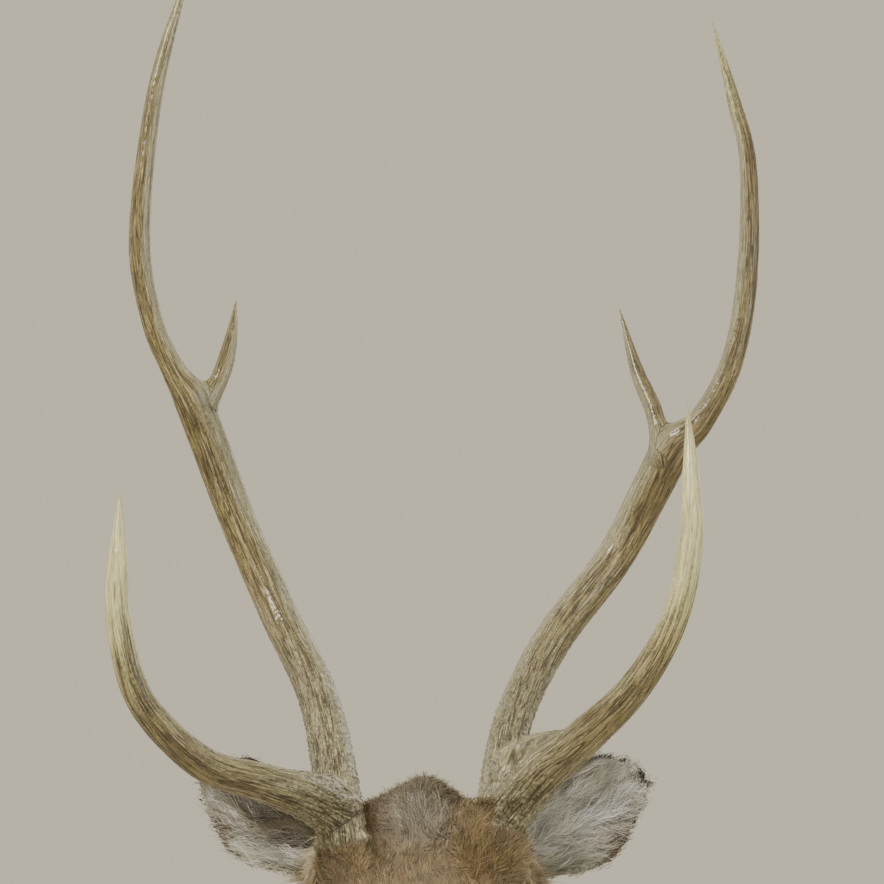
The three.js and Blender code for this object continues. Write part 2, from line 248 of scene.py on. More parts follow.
# ---- Materials ----
class Palette:
    """A material's node tree under construction, with short calls for the nodes it needs."""

    def __init__(self, name: str) -> None:
        """Starts an empty material with a surface shader.

        Args:
            name: The material's name.
        """
        self.material = bpy.data.materials.new(name)
        self.material.use_nodes = True
        self.tree = self.material.node_tree
        self.surface = self.tree.nodes["Principled BSDF"]

    def add(self, kind: str, feeds: dict[str, object] | None = None,
            **settings: object) -> bpy.types.Node:
        """Adds a node.

        Args:
            kind: Its type.
            feeds: What each of its inputs takes, by the input's name.
            **settings: Its properties.

        Returns:
            The new node.
        """
        node = self.tree.nodes.new(kind)
        for key, value in settings.items():
            setattr(node, key, value)
        for key, value in (feeds or {}).items():
            self.feed(node.inputs[key], value)
        return node

    def feed(self, socket: Socket, value: object) -> None:
        """Links an output to a socket, or sets the socket to a plain value."""
        if isinstance(value, Socket):
            self.tree.links.new(value, socket)
        else:
            socket.default_value = value

    def attribute(self, name: str, output: str = "Fac") -> Socket:
        """Reads a named attribute of the mesh."""
        return self.add("ShaderNodeAttribute", attribute_name=name).outputs[output]

    def place(self) -> Socket:
        """Gives the object's own coordinates in metres."""
        return self.add("ShaderNodeTexCoord").outputs["Object"]

    def stretched(self, vector: Socket, *scale: float) -> Socket:
        """Scales a vector by its own amount along each axis."""
        return self.add("ShaderNodeMapping", {"Vector": vector, "Scale": scale}).outputs["Vector"]

    def noise(self, vector: Socket, scale: float, detail: float = 3.0, rough: float = 0.55) -> Socket:
        """Adds a noise texture and gives its strength."""
        feeds = {"Vector": vector, "Scale": scale, "Detail": detail, "Roughness": rough}
        return self.add("ShaderNodeTexNoise", feeds).outputs["Fac"]

    def cells(self, vector: Socket, scale: float) -> Socket:
        """Adds a cell texture and gives the distance from each cell's middle."""
        return self.add("ShaderNodeTexVoronoi", {"Vector": vector, "Scale": scale}).outputs["Distance"]

    def ease(self, value: Socket, low: float, high: float, start: float = 0.0,
             end: float = 1.0) -> Socket:
        """Maps the numbers from low to high smoothly onto those from start to end."""
        feeds = {"Value": value, "From Min": low, "From Max": high, "To Min": start, "To Max": end}
        return self.add("ShaderNodeMapRange", feeds, interpolation_type="SMOOTHSTEP").outputs["Result"]

    def maths(self, kind: str, first: object, second: object = 0.0) -> Socket:
        """Adds one sum of two numbers or outputs."""
        node = self.add("ShaderNodeMath", operation=kind)
        self.feed(node.inputs[0], first)
        self.feed(node.inputs[1], second)
        return node.outputs[0]

    def times(self, first: object, *others: object) -> Socket:
        """Multiplies numbers and outputs together."""
        for other in others:
            first = self.maths("MULTIPLY", first, other)
        return first

    def length(self, vector: Socket) -> Socket:
        """Gives a vector's length."""
        node = self.add("ShaderNodeVectorMath", operation="LENGTH")
        self.feed(node.inputs[0], vector)
        return node.outputs["Value"]

    def mixed(self, share: object, first: object, second: object, how: str = "MIX") -> Socket:
        """Mixes two colours, each a plain colour or an output."""
        node = self.add("ShaderNodeMix", {"Factor": share}, data_type="RGBA", blend_type=how)
        for key, colour in (("A", first), ("B", second)):
            socket = [item for item in node.inputs if item.name == key and item.type == "RGBA"][0]
            self.feed(socket, (*colour, 1.0) if isinstance(colour, tuple) else colour)
        return [item for item in node.outputs if item.type == "RGBA"][0]

    def bump(self, height: Socket, depth: float, strength: float = 1.0) -> None:
        """Bends the surface's shading by a height in metres times the given depth."""
        node = self.add("ShaderNodeBump", {"Height": height, "Distance": depth, "Strength": strength})
        self.feed(self.surface.inputs["Normal"], node.outputs["Normal"])

    def finish(self, colour: object, rough: object, **fixed: float) -> Material:
        """Sets the shader's colour, roughness and constant sockets.

        Args:
            colour: The base colour, plain or an output.
            rough: The roughness, plain or an output.
            **fixed: Constant sockets, with underscores for spaces.

        Returns:
            The finished material.
        """
        paint = (*colour, 1.0) if isinstance(colour, tuple) else colour
        self.feed(self.surface.inputs["Base Color"], paint)
        self.feed(self.surface.inputs["Roughness"], rough)
        for key, value in fixed.items():
            self.surface.inputs[key.replace("_", " ")].default_value = value
        return self.material


@dataclass(frozen=True)
class AntlerFinish:
    """Bare antler: grey and fawn bone, brown in the grooves, rubbed to ivory towards each tip."""

    groove: Colour = srgb(62, 49, 32)
    outer: Colour = srgb(171, 155, 101)
    inner: Colour = srgb(196, 192, 160)
    ridge: Colour = srgb(220, 211, 168)
    ivory: Colour = srgb(255, 250, 188)
    stain: Colour = srgb(124, 104, 59)
    pearled: Colour = srgb(190, 188, 162)

    def lines(self, kit: Palette, run: Socket, scale: float, stretch: float, width: float) -> Socket:
        """Draws wandering lines along the antler.

        Args:
            kit: The material under construction.
            run: The place round and along the antler.
            scale: How many lines there are in a metre.
            stretch: The scale along the antler as a share of the scale round it.
            width: How wide the lines are, in noise units.

        Returns:
            1 on a line, falling to 0 beside it.
        """
        value = kit.noise(kit.stretched(run, 1.0, 1.0, stretch), scale, 2.0)
        off = kit.maths("ABSOLUTE", kit.maths("SUBTRACT", value, 0.5))
        return kit.ease(off, width, 0.0)

    def build(self) -> Material:
        """Makes the antler material.

        Returns:
            The material, which reads relief, wear, shade, knob, base and run from the mesh.
        """
        kit = Palette("antler")
        run = kit.attribute("run", "Vector")
        relief, wear, base, shade = (kit.attribute(name) for name in ("relief", "wear", "base", "shade"))
        broad = self.lines(kit, run, 300.0, 0.05, 0.055)
        thin = self.lines(kit, run, 640.0, 0.07, 0.07)
        finest = self.lines(kit, run, 1500.0, 0.08, 0.09)
        pearl = kit.cells(kit.stretched(run, 1.0, 1.0, 0.5), 760.0)
        patch = kit.noise(kit.stretched(run, 1.0, 1.0, 0.5), 34.0, 3.0)
        streak = kit.noise(kit.stretched(run, 1.0, 1.0, 0.05), 420.0, 3.0)
        speck = kit.noise(run, 900.0, 3.0)
        deep = kit.ease(shade, 0.2, 1.0, 1.0, 0.3)
        fresh = kit.ease(wear, 1.0, 0.25, 0.45, 1.0)
        deep_fresh = kit.times(deep, fresh)
        hollow = kit.times(kit.ease(relief, 0.75, 0.2, 0.0, 0.72), fresh,
                           kit.ease(base, 0.0, 1.0, 1.0, 0.5))
        body = kit.mixed(shade, self.outer, self.inner)
        for share, colour in (
            (kit.times(kit.ease(patch, 0.46, 0.66, 0.0, 0.6), deep), self.stain),
            (kit.ease(streak, 0.48, 0.66, 0.0, 0.6), self.ridge),
            (kit.times(base, 0.7), self.pearled),
            (kit.times(base, kit.ease(relief, 0.78, 1.0, 0.0, 0.6)), self.ridge),
            (wear, self.ivory),
            (hollow, self.groove),
            (kit.times(broad, 0.85, deep_fresh), self.groove),
            (kit.times(thin, 0.6, deep_fresh), self.groove),
            (kit.times(finest, 0.4, fresh), self.groove),
            (kit.times(base, kit.ease(pearl, 0.42, 0.75, 0.0, 0.6)), self.groove),
            (kit.times(base, kit.ease(speck, 0.42, 0.3, 0.0, 0.6)), self.groove),
            (kit.attribute("knob"), self.ivory),
        ):
            body = kit.mixed(share, body, colour)
        lines = kit.maths("ADD", kit.times(broad, -0.5), kit.times(thin, -0.35))
        lines = kit.maths("ADD", lines, kit.times(finest, -0.15))
        pearls = kit.times(kit.maths("SUBTRACT", 1.0, pearl), 1.3)
        grain = kit.times(kit.maths("ADD", speck, pearls), kit.times(base, 0.6))
        kit.bump(kit.times(kit.maths("ADD", lines, grain), fresh), 0.0010, 0.9)
        rough = kit.ease(wear, 0.0, 0.8, 0.5, 0.22)
        return kit.finish(body, rough, Coat_Weight=0.5, Coat_Roughness=0.14, Specular_IOR_Level=0.5)


@dataclass(frozen=True)
class SkinFinish:
    """The hide: close hair drawn by colour and bump, with painted shade between the hairs and the clumps, and
    bare leather on the nose and lids.
    """

    bare: Colour = srgb(26, 22, 20)
    # Near-black painted shade, laid into the gaps between the hairs and between the clumps.
    shade_between_hairs: Colour = (0.02, 0.014, 0.01)
    shade_between_clumps: Colour = (0.03, 0.02, 0.012)

    def build(self) -> Material:
        """Makes the hide material.

        Returns:
            The material, which reads marking, bare and weft from the mesh.
        """
        kit = Palette("hide")
        weft = kit.attribute("weft", "Vector")
        bare = kit.attribute("bare")
        hair = kit.noise(kit.stretched(weft, 1.0, 0.1, 1.0), 1100.0, 3.0, 0.6)
        clump = kit.noise(kit.stretched(weft, 1.0, 0.25, 1.0), 170.0, 3.0)
        pebble = kit.cells(kit.place(), 620.0)
        marking = kit.attribute("marking", "Color")
        # Paints shade into the gaps between the hairs, then between the clumps.
        fur = kit.mixed(kit.ease(hair, 0.3, 0.7, 0.55, 0.0), marking, self.shade_between_hairs)
        fur = kit.mixed(kit.ease(clump, 0.35, 0.65, 0.25, 0.0), fur, self.shade_between_clumps)
        colour = kit.mixed(bare, fur, self.bare)
        rough = kit.ease(bare, 0.0, 1.0, 0.9, 0.42)
        fur_height = kit.maths("ADD", kit.times(hair, 0.6), kit.times(clump, 1.4))
        pebble_height = kit.times(pebble, kit.times(bare, -0.9))
        fur_share = kit.times(fur_height, kit.maths("SUBTRACT", 1.0, bare))
        kit.bump(kit.maths("ADD", fur_share, pebble_height), 0.0014, 0.9)
        return kit.finish(colour, rough, Sheen_Weight=0.15, Sheen_Roughness=0.5, Specular_IOR_Level=0.35)


@dataclass(frozen=True)
class CoatFinish:
    """Loose hair: the skin's marking, darker at the root, partly the hair's own banding and partly painted
    shade deep in the coat, and paler at the tip, with streaks of painted sheen.
    """

    root: Colour = (0.045, 0.03, 0.02)
    dusk: Colour = (0.1, 0.075, 0.05)
    # A near-white colour screened on in streaks as a painted sheen.
    painted_sheen: Colour = (1.0, 0.95, 0.85)

    def build(self) -> Material:
        """Makes the hair material.

        Returns:
            The material, which reads marking, tip and tint from the mesh.
        """
        kit = Palette("hair")
        tip = kit.attribute("tip")
        tint = kit.attribute("tint")
        streak = kit.noise(kit.place(), 900.0, 2.0)
        base = kit.attribute("marking", "Color")
        # Darkens the root: partly the hair's own banding, partly painted shade deep in the coat.
        shaded = kit.mixed(kit.ease(tip, 0.0, 0.55, 0.5, 0.0), base, self.root, "MULTIPLY")
        dark = kit.mixed(kit.ease(tint, -1.0, 1.0, 0.9, 0.0), shaded, self.dusk, "MULTIPLY")
        # Screens on streaks of painted sheen.
        light = kit.mixed(kit.ease(streak, 0.5, 0.8, 0.0, 0.2), dark, self.painted_sheen, "SCREEN")
        return kit.finish(light, 0.62, Sheen_Weight=0.1, Sheen_Roughness=0.4, Specular_IOR_Level=0.4)


@dataclass(frozen=True)
class EyeFinish:
    """A glass eye: black oval pupil, deep brown iris and a thick clear front."""

    pupil: Colour = (0.002, 0.002, 0.003)
    iris: Colour = srgb(58, 32, 16)
    rim: Colour = srgb(18, 12, 9)

    def build(self) -> Material:
        """Makes the eye material.

        Returns:
            The material, which reads gaze, the place on the globe in shares of the iris, from the mesh.
        """
        kit = Palette("eye_glass")
        gaze = kit.attribute("gaze", "Vector")
        oval = kit.length(kit.stretched(gaze, 0.72, 1.35, 0.0))
        fibre = kit.noise(kit.stretched(gaze, 9.0, 9.0, 9.0), 3.0, 4.0)
        iris = kit.mixed(kit.ease(fibre, 0.3, 0.7, 0.0, 0.7), self.iris, self.rim)
        inside = kit.mixed(kit.ease(oval, 0.5, 0.58), self.pupil, iris)
        whole = kit.mixed(kit.ease(kit.length(gaze), 0.86, 1.0), inside, self.rim)
        return kit.finish(whole, 0.1, Coat_Weight=0.55, Coat_Roughness=0.02, Coat_IOR=1.45,
                          Specular_IOR_Level=0.3)


@dataclass(frozen=True)
class PlywoodFinish:
    """Sanded plywood: rotary grain on the faces and thin plies along the edge."""

    pale: Colour = srgb(206, 172, 124)
    dark: Colour = srgb(150, 108, 66)
    plies: int = 9
    thick: float = 0.018

    def build(self) -> Material:
        """Makes the plywood material."""
        kit = Palette("plywood")
        place = kit.place()
        grain = kit.noise(kit.stretched(place, 1.0, 1.0, 0.05), 120.0, 4.0, 0.65)
        figure = kit.noise(kit.stretched(place, 1.0, 1.0, 0.16), 14.0, 2.0)
        face = kit.mixed(kit.ease(grain, 0.35, 0.7), self.pale, self.dark)
        face = kit.mixed(kit.ease(figure, 0.4, 0.62, 0.0, 0.45), face, self.dark)
        split = kit.add("ShaderNodeSeparateXYZ", {"Vector": place})
        ply = kit.maths("FRACT", kit.times(split.outputs["Y"], self.plies / (2 * self.thick)))
        layer = kit.maths("GREATER_THAN", ply, 0.5)
        edge = kit.mixed(kit.times(layer, 0.75), self.pale, self.dark)
        colour = kit.mixed(kit.attribute("edge"), face, edge)
        kit.bump(kit.maths("ADD", grain, layer), 0.0003, 0.5)
        return kit.finish(colour, 0.62, Specular_IOR_Level=0.35)


@dataclass(frozen=True)
class PlateFinish:
    """Brass-toned zinc plate, brushed along its length and dulled in patches."""

    bright: Colour = srgb(196, 178, 128)
    dull: Colour = srgb(138, 122, 84)

    def build(self) -> Material:
        """Makes the plated steel material."""
        kit = Palette("plate")
        place = kit.place()
        brush = kit.noise(kit.stretched(place, 0.05, 1.0, 1.0), 3000.0, 3.0)
        tarnish = kit.noise(place, 60.0, 3.0)
        colour = kit.mixed(kit.ease(tarnish, 0.4, 0.65), self.bright, self.dull)
        rough = kit.ease(brush, 0.3, 0.7, 0.28, 0.45)
        kit.bump(brush, 0.0001, 0.4)
        return kit.finish(colour, rough, Metallic=1.0)


@dataclass(frozen=True)
class FloorFinish:
    """A plain pale matt floor with the faintest mottle."""

    pale: Colour = srgb(226, 221, 212)
    worn: Colour = srgb(210, 205, 196)

    def build(self) -> Material:
        """Makes the floor material."""
        kit = Palette("floor")
        mottle = kit.noise(kit.place(), 3.0, 3.0)
        colour = kit.mixed(kit.ease(mottle, 0.3, 0.7, 0.0, 0.1), self.pale, self.worn)
        return kit.finish(colour, 0.85)


# ---- Places on the body ----
@dataclass(frozen=True)
class HeadFrame:
    """The head's own axes: back from the nose tip, up off the bridge of the nose, and across."""

    nose_y: float = -0.514
    nose_z: float = 0.323
    pitch: float = math.radians(35)

    def world(self, back: float, up: float, across: float = 0.0) -> Vector:
        """Places a point given as distances in the head's axes."""
        cosine, sine = math.cos(self.pitch), math.sin(self.pitch)
        return Vector((across, self.nose_y + back * cosine - up * sine,
                       self.nose_z + back * sine + up * cosine))

    def local(self, points: Array) -> tuple[Array, Array, Array]:
        """Gives back, up and across for each point."""
        cosine, sine = math.cos(self.pitch), math.sin(self.pitch)
        ahead = points[:, 1] - self.nose_y
        above = points[:, 2] - self.nose_z
        return ahead * cosine + above * sine, above * cosine - ahead * sine, points[:, 0]


HEAD = HeadFrame()


class BodyAxis:
    """The line through the middle of the head, neck and trunk, from the nose tip to the wall."""

    MIDDLES = (
        (-0.520, 0.300), (-0.426, 0.345), (-0.350, 0.388), (-0.292, 0.412), (-0.240, 0.398), (-0.200, 0.330),
        (-0.182, 0.240), (-0.172, 0.140), (-0.135, 0.050), (-0.075, 0.000), (-0.010, -0.020),
    )
    STEPS = 90
    PITCH = 0.004

    def __init__(self) -> None:
        """Samples the line with its directions and running length, and the plane round it."""
        marks = np.array(self.MIDDLES)
        run = np.concatenate([[0.0], np.cumsum(np.linalg.norm(np.diff(marks, axis=0), axis=1))])
        self.length = run[-1]
        self.along = np.linspace(0.0, self.length, self.STEPS)
        self.middle = np.stack([np.interp(self.along, run, marks[:, axis]) for axis in (0, 1)], axis=1)
        for _ in range(6):
            self.middle[1:-1] = (self.middle[:-2] + 2 * self.middle[1:-1] + self.middle[2:]) / 4
        self.heading = unit(np.gradient(self.middle, axis=0))
        self.corner = np.array([-0.57, -0.32])
        counts = (int(0.62 / self.PITCH), int(0.96 / self.PITCH))
        rows, columns = np.meshgrid(*(np.arange(count) for count in counts), indexing="ij")
        plane = self.corner + np.stack([rows, columns], axis=-1).reshape(-1, 2) * self.PITCH
        self.table = self.measure(plane).reshape(*counts, 4)

    def measure(self, points: Array) -> Array:
        """Measures points of the middle plane against the line.

        Args:
            points: Places as (y, z), one row each.

        Returns:
            For each, the running length, the height over the line, and the heading's y and z.
        """
        gap = points[:, None, :] - self.middle[None, :, :]
        weight = np.exp(-np.sum(gap * gap, axis=2) / 0.045**2) + 1e-12
        weight /= weight.sum(axis=1, keepdims=True)
        heading = unit(weight @ self.heading)
        centre = weight @ self.middle
        nearest = weight @ self.along
        offset = points - centre
        along = nearest + np.sum(offset * heading, axis=1)
        back_line = np.stack([-heading[:, 1], heading[:, 0]], axis=1)
        height = np.sum(offset * back_line, axis=1)
        return np.column_stack([along, height, heading])

    def read(self, points: Array) -> tuple[Array, Array, Array]:
        """Finds where points lie along and around the body.

        Args:
            points: Places, one row each.

        Returns:
            The running length, the angle round from the back line (the animal's left is positive), and
            the body's heading there as 3-D directions.
        """
        spot = (points[:, 1:] - self.corner) / self.PITCH
        spot = np.clip(spot, 0.0, np.array(self.table.shape[:2]) - 1.001)
        low = spot.astype(int)
        part = spot - low
        found = np.zeros((len(points), 4))
        for row in (0, 1):
            for column in (0, 1):
                share = np.abs(1 - row - part[:, 0]) * np.abs(1 - column - part[:, 1])
                found += share[:, None] * self.table[low[:, 0] + row, low[:, 1] + column]
        angle = np.arctan2(points[:, 0], found[:, 1])
        return found[:, 0], angle, np.column_stack([np.zeros(len(points)), unit(found[:, 2:])])


AXIS = BodyAxis()


# ---- Eyes ----
@dataclass(frozen=True)
class Eye:
    """A glass eye and the lids that the hide forms over it."""

    side: Side
    radius: float = 0.0168
    spread: float = 0.0440
    half_length: float = 0.0152
    half_height_up: float = 0.0096
    half_height_down: float = 0.0076
    iris: float = 0.0142
    fullness: float = 1.7

    @property
    def middle(self) -> Vector:
        """The middle of the globe."""
        return HEAD.world(0.186, -0.012, self.side.value * self.spread)

    def axes(self) -> tuple[Vector, Vector, Vector]:
        """Gives the eye's directions: along the face towards the nose, up, and out of the head."""
        out = Vector((self.side.value * 0.93, -0.30, 0.12)).normalized()
        forward = HEAD.world(-0.1, -0.012) - HEAD.world(0.0, 0.0)
        forward = (forward - out * forward.dot(out)).normalized()
        up = out.cross(forward) * -self.side.value
        if up.z < 0:
            up = -up
        return forward, up.normalized(), out

    def local(self, places: Array) -> tuple[Array, Array, Array]:
        """Gives forward, up and out for each place, measured from the middle of the globe."""
        offset = places - np.array(self.middle)
        return tuple(offset @ np.array(axis) for axis in self.axes())

    def read(self, places: Array) -> tuple[Array, Array, Array, Array]:
        """Gives forward, up and out for each place, and its share of the opening's reach."""
        forward, up, out = self.local(places)
        return forward, up, out, self.opening(forward, up)

    def opening(self, forward: Array, up: Array) -> Array:
        """Measures places against the edge of the lids.

        Args:
            forward: Distance towards the nose.
            up: Distance up.

        Returns:
            The distance from the middle as a share of the opening's own reach that way.
        """
        corner = np.where(forward > 0, 1.2, 0.98)
        tilt = up + forward * 0.16
        height = np.where(tilt > 0, self.half_height_up, self.half_height_down)
        ahead = np.abs(forward / (self.half_length * corner)) ** self.fullness
        return (ahead + np.abs(tilt / height) ** self.fullness) ** (1 / self.fullness)

    def form_lids(self, mesh: Mesh) -> None:
        """Moves the hide over the globe and tucks it in behind, so that two lids stand round it.

        Args:
            mesh: The skin, fine enough around the eye.
        """
        places = coords(mesh)
        forward, up, out, share = self.read(places)
        flat = np.hypot(forward, up)
        near = (flat < 0.04) & (out > 0.0)
        globe = np.sqrt(np.maximum(self.radius**2 - flat**2, 0.0))
        fold = 0.0009 * bell(share - 1.5, 0.14) * (up > 0)
        rim = globe + 0.0014 + 0.0011 * bell(share - 1.14, 0.12) + fold
        settle = ramp(1.3, 2.3, share)
        cover = np.where(flat < self.radius, globe + 0.0011, -1.0)
        outside = np.maximum(rim * (1 - settle) + out * settle, cover)
        inside = np.minimum(out, globe - 0.0035)
        target = np.where(share > 1.0, outside, inside)
        axis = np.array(self.axes()[2])
        places[near] += ((target - out)[:, None] * axis)[near]
        set_coords(mesh, places)

    def build(self) -> Piece:
        """Makes the glass eye, with a bulging clear front.

        Returns:
            The eye piece.
        """
        form = bmesh.new()
        bmesh.ops.create_uvsphere(form, u_segments=48, v_segments=32, radius=self.radius)
        forward, up, out = self.axes()
        turn = Matrix((forward, up, out)).transposed().to_4x4()
        bmesh.ops.transform(form, matrix=Matrix.Translation(self.middle) @ turn, verts=form.verts)
        bmesh.ops.recalc_face_normals(form, faces=form.faces)
        mesh = mesh_from(form, f"glass_eye_{self.side.label}")
        places = coords(mesh)
        ahead, above, outward = self.local(places)
        flat = np.hypot(ahead, above)
        bulge = 0.0011 * ramp(self.iris, 0.2 * self.iris, flat) * (outward > 0)
        set_coords(mesh, places + bulge[:, None] * np.array(out))
        gaze = np.stack([ahead / self.iris, above / self.iris, np.where(outward > 0, 0.0, 3.0)], axis=1)
        vectors(mesh, "gaze", gaze)
        mesh.materials.append(EyeFinish().build())
        piece = piece_from(f"glass_eye_{self.side.label}", mesh)
        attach(piece, BODY)
        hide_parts(f"eye_{self.side.label}")
        return piece


EYES = tuple(Eye(side) for side in Side)


# ---- Markings ----
@dataclass
class Markings:
    """The coat's colours and spots, worked out for any place on the hide."""

    fawn: Colour = srgb(164, 122, 82)
    pale_fawn: Colour = srgb(192, 162, 122)
    dark_fawn: Colour = srgb(112, 82, 54)
    nape: Colour = srgb(64, 46, 32)
    tan: Colour = srgb(168, 149, 117)
    grey: Colour = srgb(190, 185, 172)
    olive: Colour = srgb(186, 162, 112)
    umber: Colour = srgb(130, 119, 95)
    white: Colour = srgb(236, 230, 218)
    cream: Colour = srgb(222, 206, 176)
    black: Colour = srgb(34, 28, 24)
    # The grey-brown of the painted shadow over the right ear's upper half.
    painted_ear_shadow: Colour = srgb(92, 82, 64)
    ear_skin: Colour = srgb(168, 162, 142)
    ear_hair: Colour = srgb(255, 255, 244)
    spot_gap: float = 0.030
    spots: Array = field(default_factory=lambda: np.zeros((0, 3)))

    def find_spots(self, tree: BVHTree, seed: int = 7) -> None:
        """Lays rows of spots over the shoulders and the root of the neck.

        Args:
            tree: The skin's surface, to drop the spots on.
            seed: The start of the random shifts.
        """
        rng = np.random.default_rng(seed)
        found = []
        for row, angle in enumerate((0.17, 0.42, 0.68, 0.95, 1.23, 1.52, 1.82, 2.1)):
            for step in range(12):
                along = 0.40 + 0.044 * (step + 0.5 * (row % 2)) + rng.normal(0, 0.005)
                turn = angle + rng.normal(0, 0.03)
                if along > AXIS.length - 0.016 or along < 0.40 + 0.021 * row:
                    continue
                middle = np.array([np.interp(along, AXIS.along, AXIS.middle[:, axis]) for axis in (0, 1)])
                heading = np.array([np.interp(along, AXIS.along, AXIS.heading[:, axis]) for axis in (0, 1)])
                rise = np.array([-heading[1], heading[0]])
                for side in (-1, 1):
                    shift = rng.normal(0, 0.03)
                    out = Vector((side * math.sin(turn + shift), *(rise * math.cos(turn + shift))))
                    hit = tree.ray_cast(Vector((0, *middle)), out.normalized())[0]
                    if hit is not None and all((hit - Vector(spot)).length > self.spot_gap for spot in found):
                        found.append(tuple(hit))
        self.spots = np.array(found)

    def read(self, points: Array, ear: Array | None = None) -> Array:
        """Works out the colour of the hair at each point.

        Args:
            points: Places on the skin, one row each.
            ear: For each point, 0 off the ears, 1 on their backs and 2 on their inner faces.

        Returns:
            Linear colours, one row each.
        """
        lumps = cloud(points, 38.0)
        fine = cloud(points + 3.0, 150.0)
        base = np.tile(np.array(self.fawn), (len(points), 1))
        layers = [
            *self.body_layers(points, lumps),
            *self.crown_layers(points, lumps),
            *self.under_layers(points, lumps),
            *self.eye_layers(points),
        ]
        if len(self.spots):
            nearest = np.full(len(points), 1.0)
            for spot in self.spots:
                nearest = np.minimum(nearest, np.linalg.norm(points - spot, axis=1))
            layers.append((self.white, ramp(0.0115, 0.0070, nearest + lumps * 0.0016 + fine * 0.001)))
        if ear is not None:
            inner = (ear > 1.5).astype(float)
            outer = ((ear > 0.5) & (ear < 1.5)).astype(float)
            layers += [(self.fawn, outer), (self.nape, outer * 0.4), (self.ear_skin, inner)]
        for colour, share in layers:
            base = blend(base, colour, share)
        return base * (1.0 + 0.16 * lumps[:, None] + 0.1 * fine[:, None])

    def body_layers(self, points: Array, lumps: Array) -> list[Layer]:
        """Gives the colours that lie along the whole body: pale below, dark on the back line."""
        back, _, _ = HEAD.local(points)
        along, angle, _ = AXIS.read(points)
        turn = np.abs(angle)
        trunk = ramp(0.27, 0.33, along)
        face = ramp(0.3, 0.25, along) * ramp(0.205, 0.17, back)
        return [
            (self.pale_fawn, ramp(1.0, 2.2, turn) * 0.75),
            (self.dark_fawn, ramp(0.9, 0.2, turn) * 0.45),
            (self.nape, trunk * ramp(0.3, 0.1, turn + lumps * 0.06) * 0.85),
            (self.grey, face * 0.25),
        ]

    def crown_layers(self, points: Array, lumps: Array) -> list[Layer]:
        """Gives the colours of the forehead, the crest and the hair before the ears.

        Args:
            points: Places on the skin, one row each.
            lumps: Broad noise at each of them.

        Returns:
            Colours and how much of each every point takes, in the order they are laid on.
        """
        back, up, across = HEAD.local(points)
        along, _, _ = AXIS.read(points)
        wide = np.abs(across)
        high = points[:, 2] + 0.006 * lumps
        crown = ramp(0.3, 0.25, along) * ramp(0.17, 0.215, back) * ramp(-0.045, -0.01, up)
        whorl = crown * ramp(0.018, 0.032, across + 0.008 * lumps) * ramp(0.074, 0.060, across)
        fringe = crown * ramp(0.026, 0.040, -across + 0.008 * lumps) * ramp(0.060, 0.050, -across)
        streak = cloud(points * np.array([1.0, 0.4, 0.4]), 120.0)
        cowlick = bell(across + 0.028, 0.008) * bell(points[:, 2] - 0.511, 0.012)
        ear_foot = ramp(0.056, 0.066, wide) * bell(points[:, 2] - 0.476, 0.024)
        ear_foot = ear_foot * bell(points[:, 1] + 0.304, 0.036)
        return [
            (self.tan, crown * ramp(0.11, 0.07, wide) * 0.95),
            (self.pale_fawn, crown * bell(wide - 0.03, 0.012) * ramp(0.24, 0.21, back) * 0.4),
            (self.grey, crown * bell(across - 0.001, 0.019) * ramp(0.480, 0.500, high) * 0.95),
            (self.umber, crown * ramp(0.516, 0.527, high) * ramp(0.08, 0.05, wide) * 0.9),
            (self.olive, whorl * ramp(0.458, 0.474, high) * 0.75),
            (self.olive, fringe * ramp(0.462, 0.478, high) * 0.45),
            (self.umber, crown * ramp(0.05, 0.45, streak) * 0.5),
            (self.dark_fawn, crown * ramp(0.05, 0.5, -streak) * 0.3),
            (self.nape, crown * cowlick * 0.8),
            (self.cream, np.minimum(1.0, 1.7 * ear_foot) * (along < 0.36)),
        ]

    def under_layers(self, points: Array, lumps: Array) -> list[Layer]:
        """Gives the colours of the throat, the chest, the jaw and the muzzle.

        Args:
            points: Places on the skin, one row each.
            lumps: Broad noise at each of them.

        Returns:
            Colours and how much of each every point takes, in the order they are laid on.
        """
        back, up, across = HEAD.local(points)
        along, angle, _ = AXIS.read(points)
        turn = np.abs(angle) + lumps * 0.2
        wide = np.abs(across)
        on_head = ramp(0.3, 0.25, along)
        lip = on_head * bell(back - 0.012, 0.012) * ramp(-0.028, -0.042, up)
        bridge = on_head * bell(wide, 0.014) * ramp(0.04, 0.07, back) * ramp(0.19, 0.15, back)
        return [
            (self.white, ramp(0.11, 0.16, along) * ramp(0.46, 0.38, along) * ramp(2.3, 2.75, turn)),
            (self.cream, ramp(0.42, 0.5, along) * ramp(2.3, 2.9, turn) * 0.65),
            (self.white, ramp(0.12, 0.1, back) * ramp(-0.046, -0.056, up + lumps * 0.004) * on_head),
            (self.cream, on_head * ramp(-0.075, -0.1, up + lumps * 0.01) * 0.85),
            (self.black, on_head * bell(back - 0.034, 0.014) * ramp(-0.052, -0.03, up) * 0.9),
            (self.white, lip * ramp(0.012, 0.02, wide) * 0.8),
            (self.dark_fawn, bridge * ramp(-0.02, 0.0, up) * 0.7),
        ]

    def eye_layers(self, points: Array) -> list[Layer]:
        """Gives the pale ring, the dark lids and the dark gland of each eye."""
        along, _, _ = AXIS.read(points)
        layers = []
        for eye in EYES:
            forward, rise, out, share = eye.read(points)
            near = ramp(0.3, 0.25, along) * (out > 0.0) * (np.hypot(forward, rise) < 0.045)
            gland = bell(np.hypot(forward - 0.024, rise + 0.007), 0.0065) * near
            layers += [
                (self.cream, near * bell(share - 2.0, 0.42) * 0.6),
                (self.black, near * ramp(1.55, 1.3, share)),
                (self.black, gland * 0.75),
            ]
        return layers


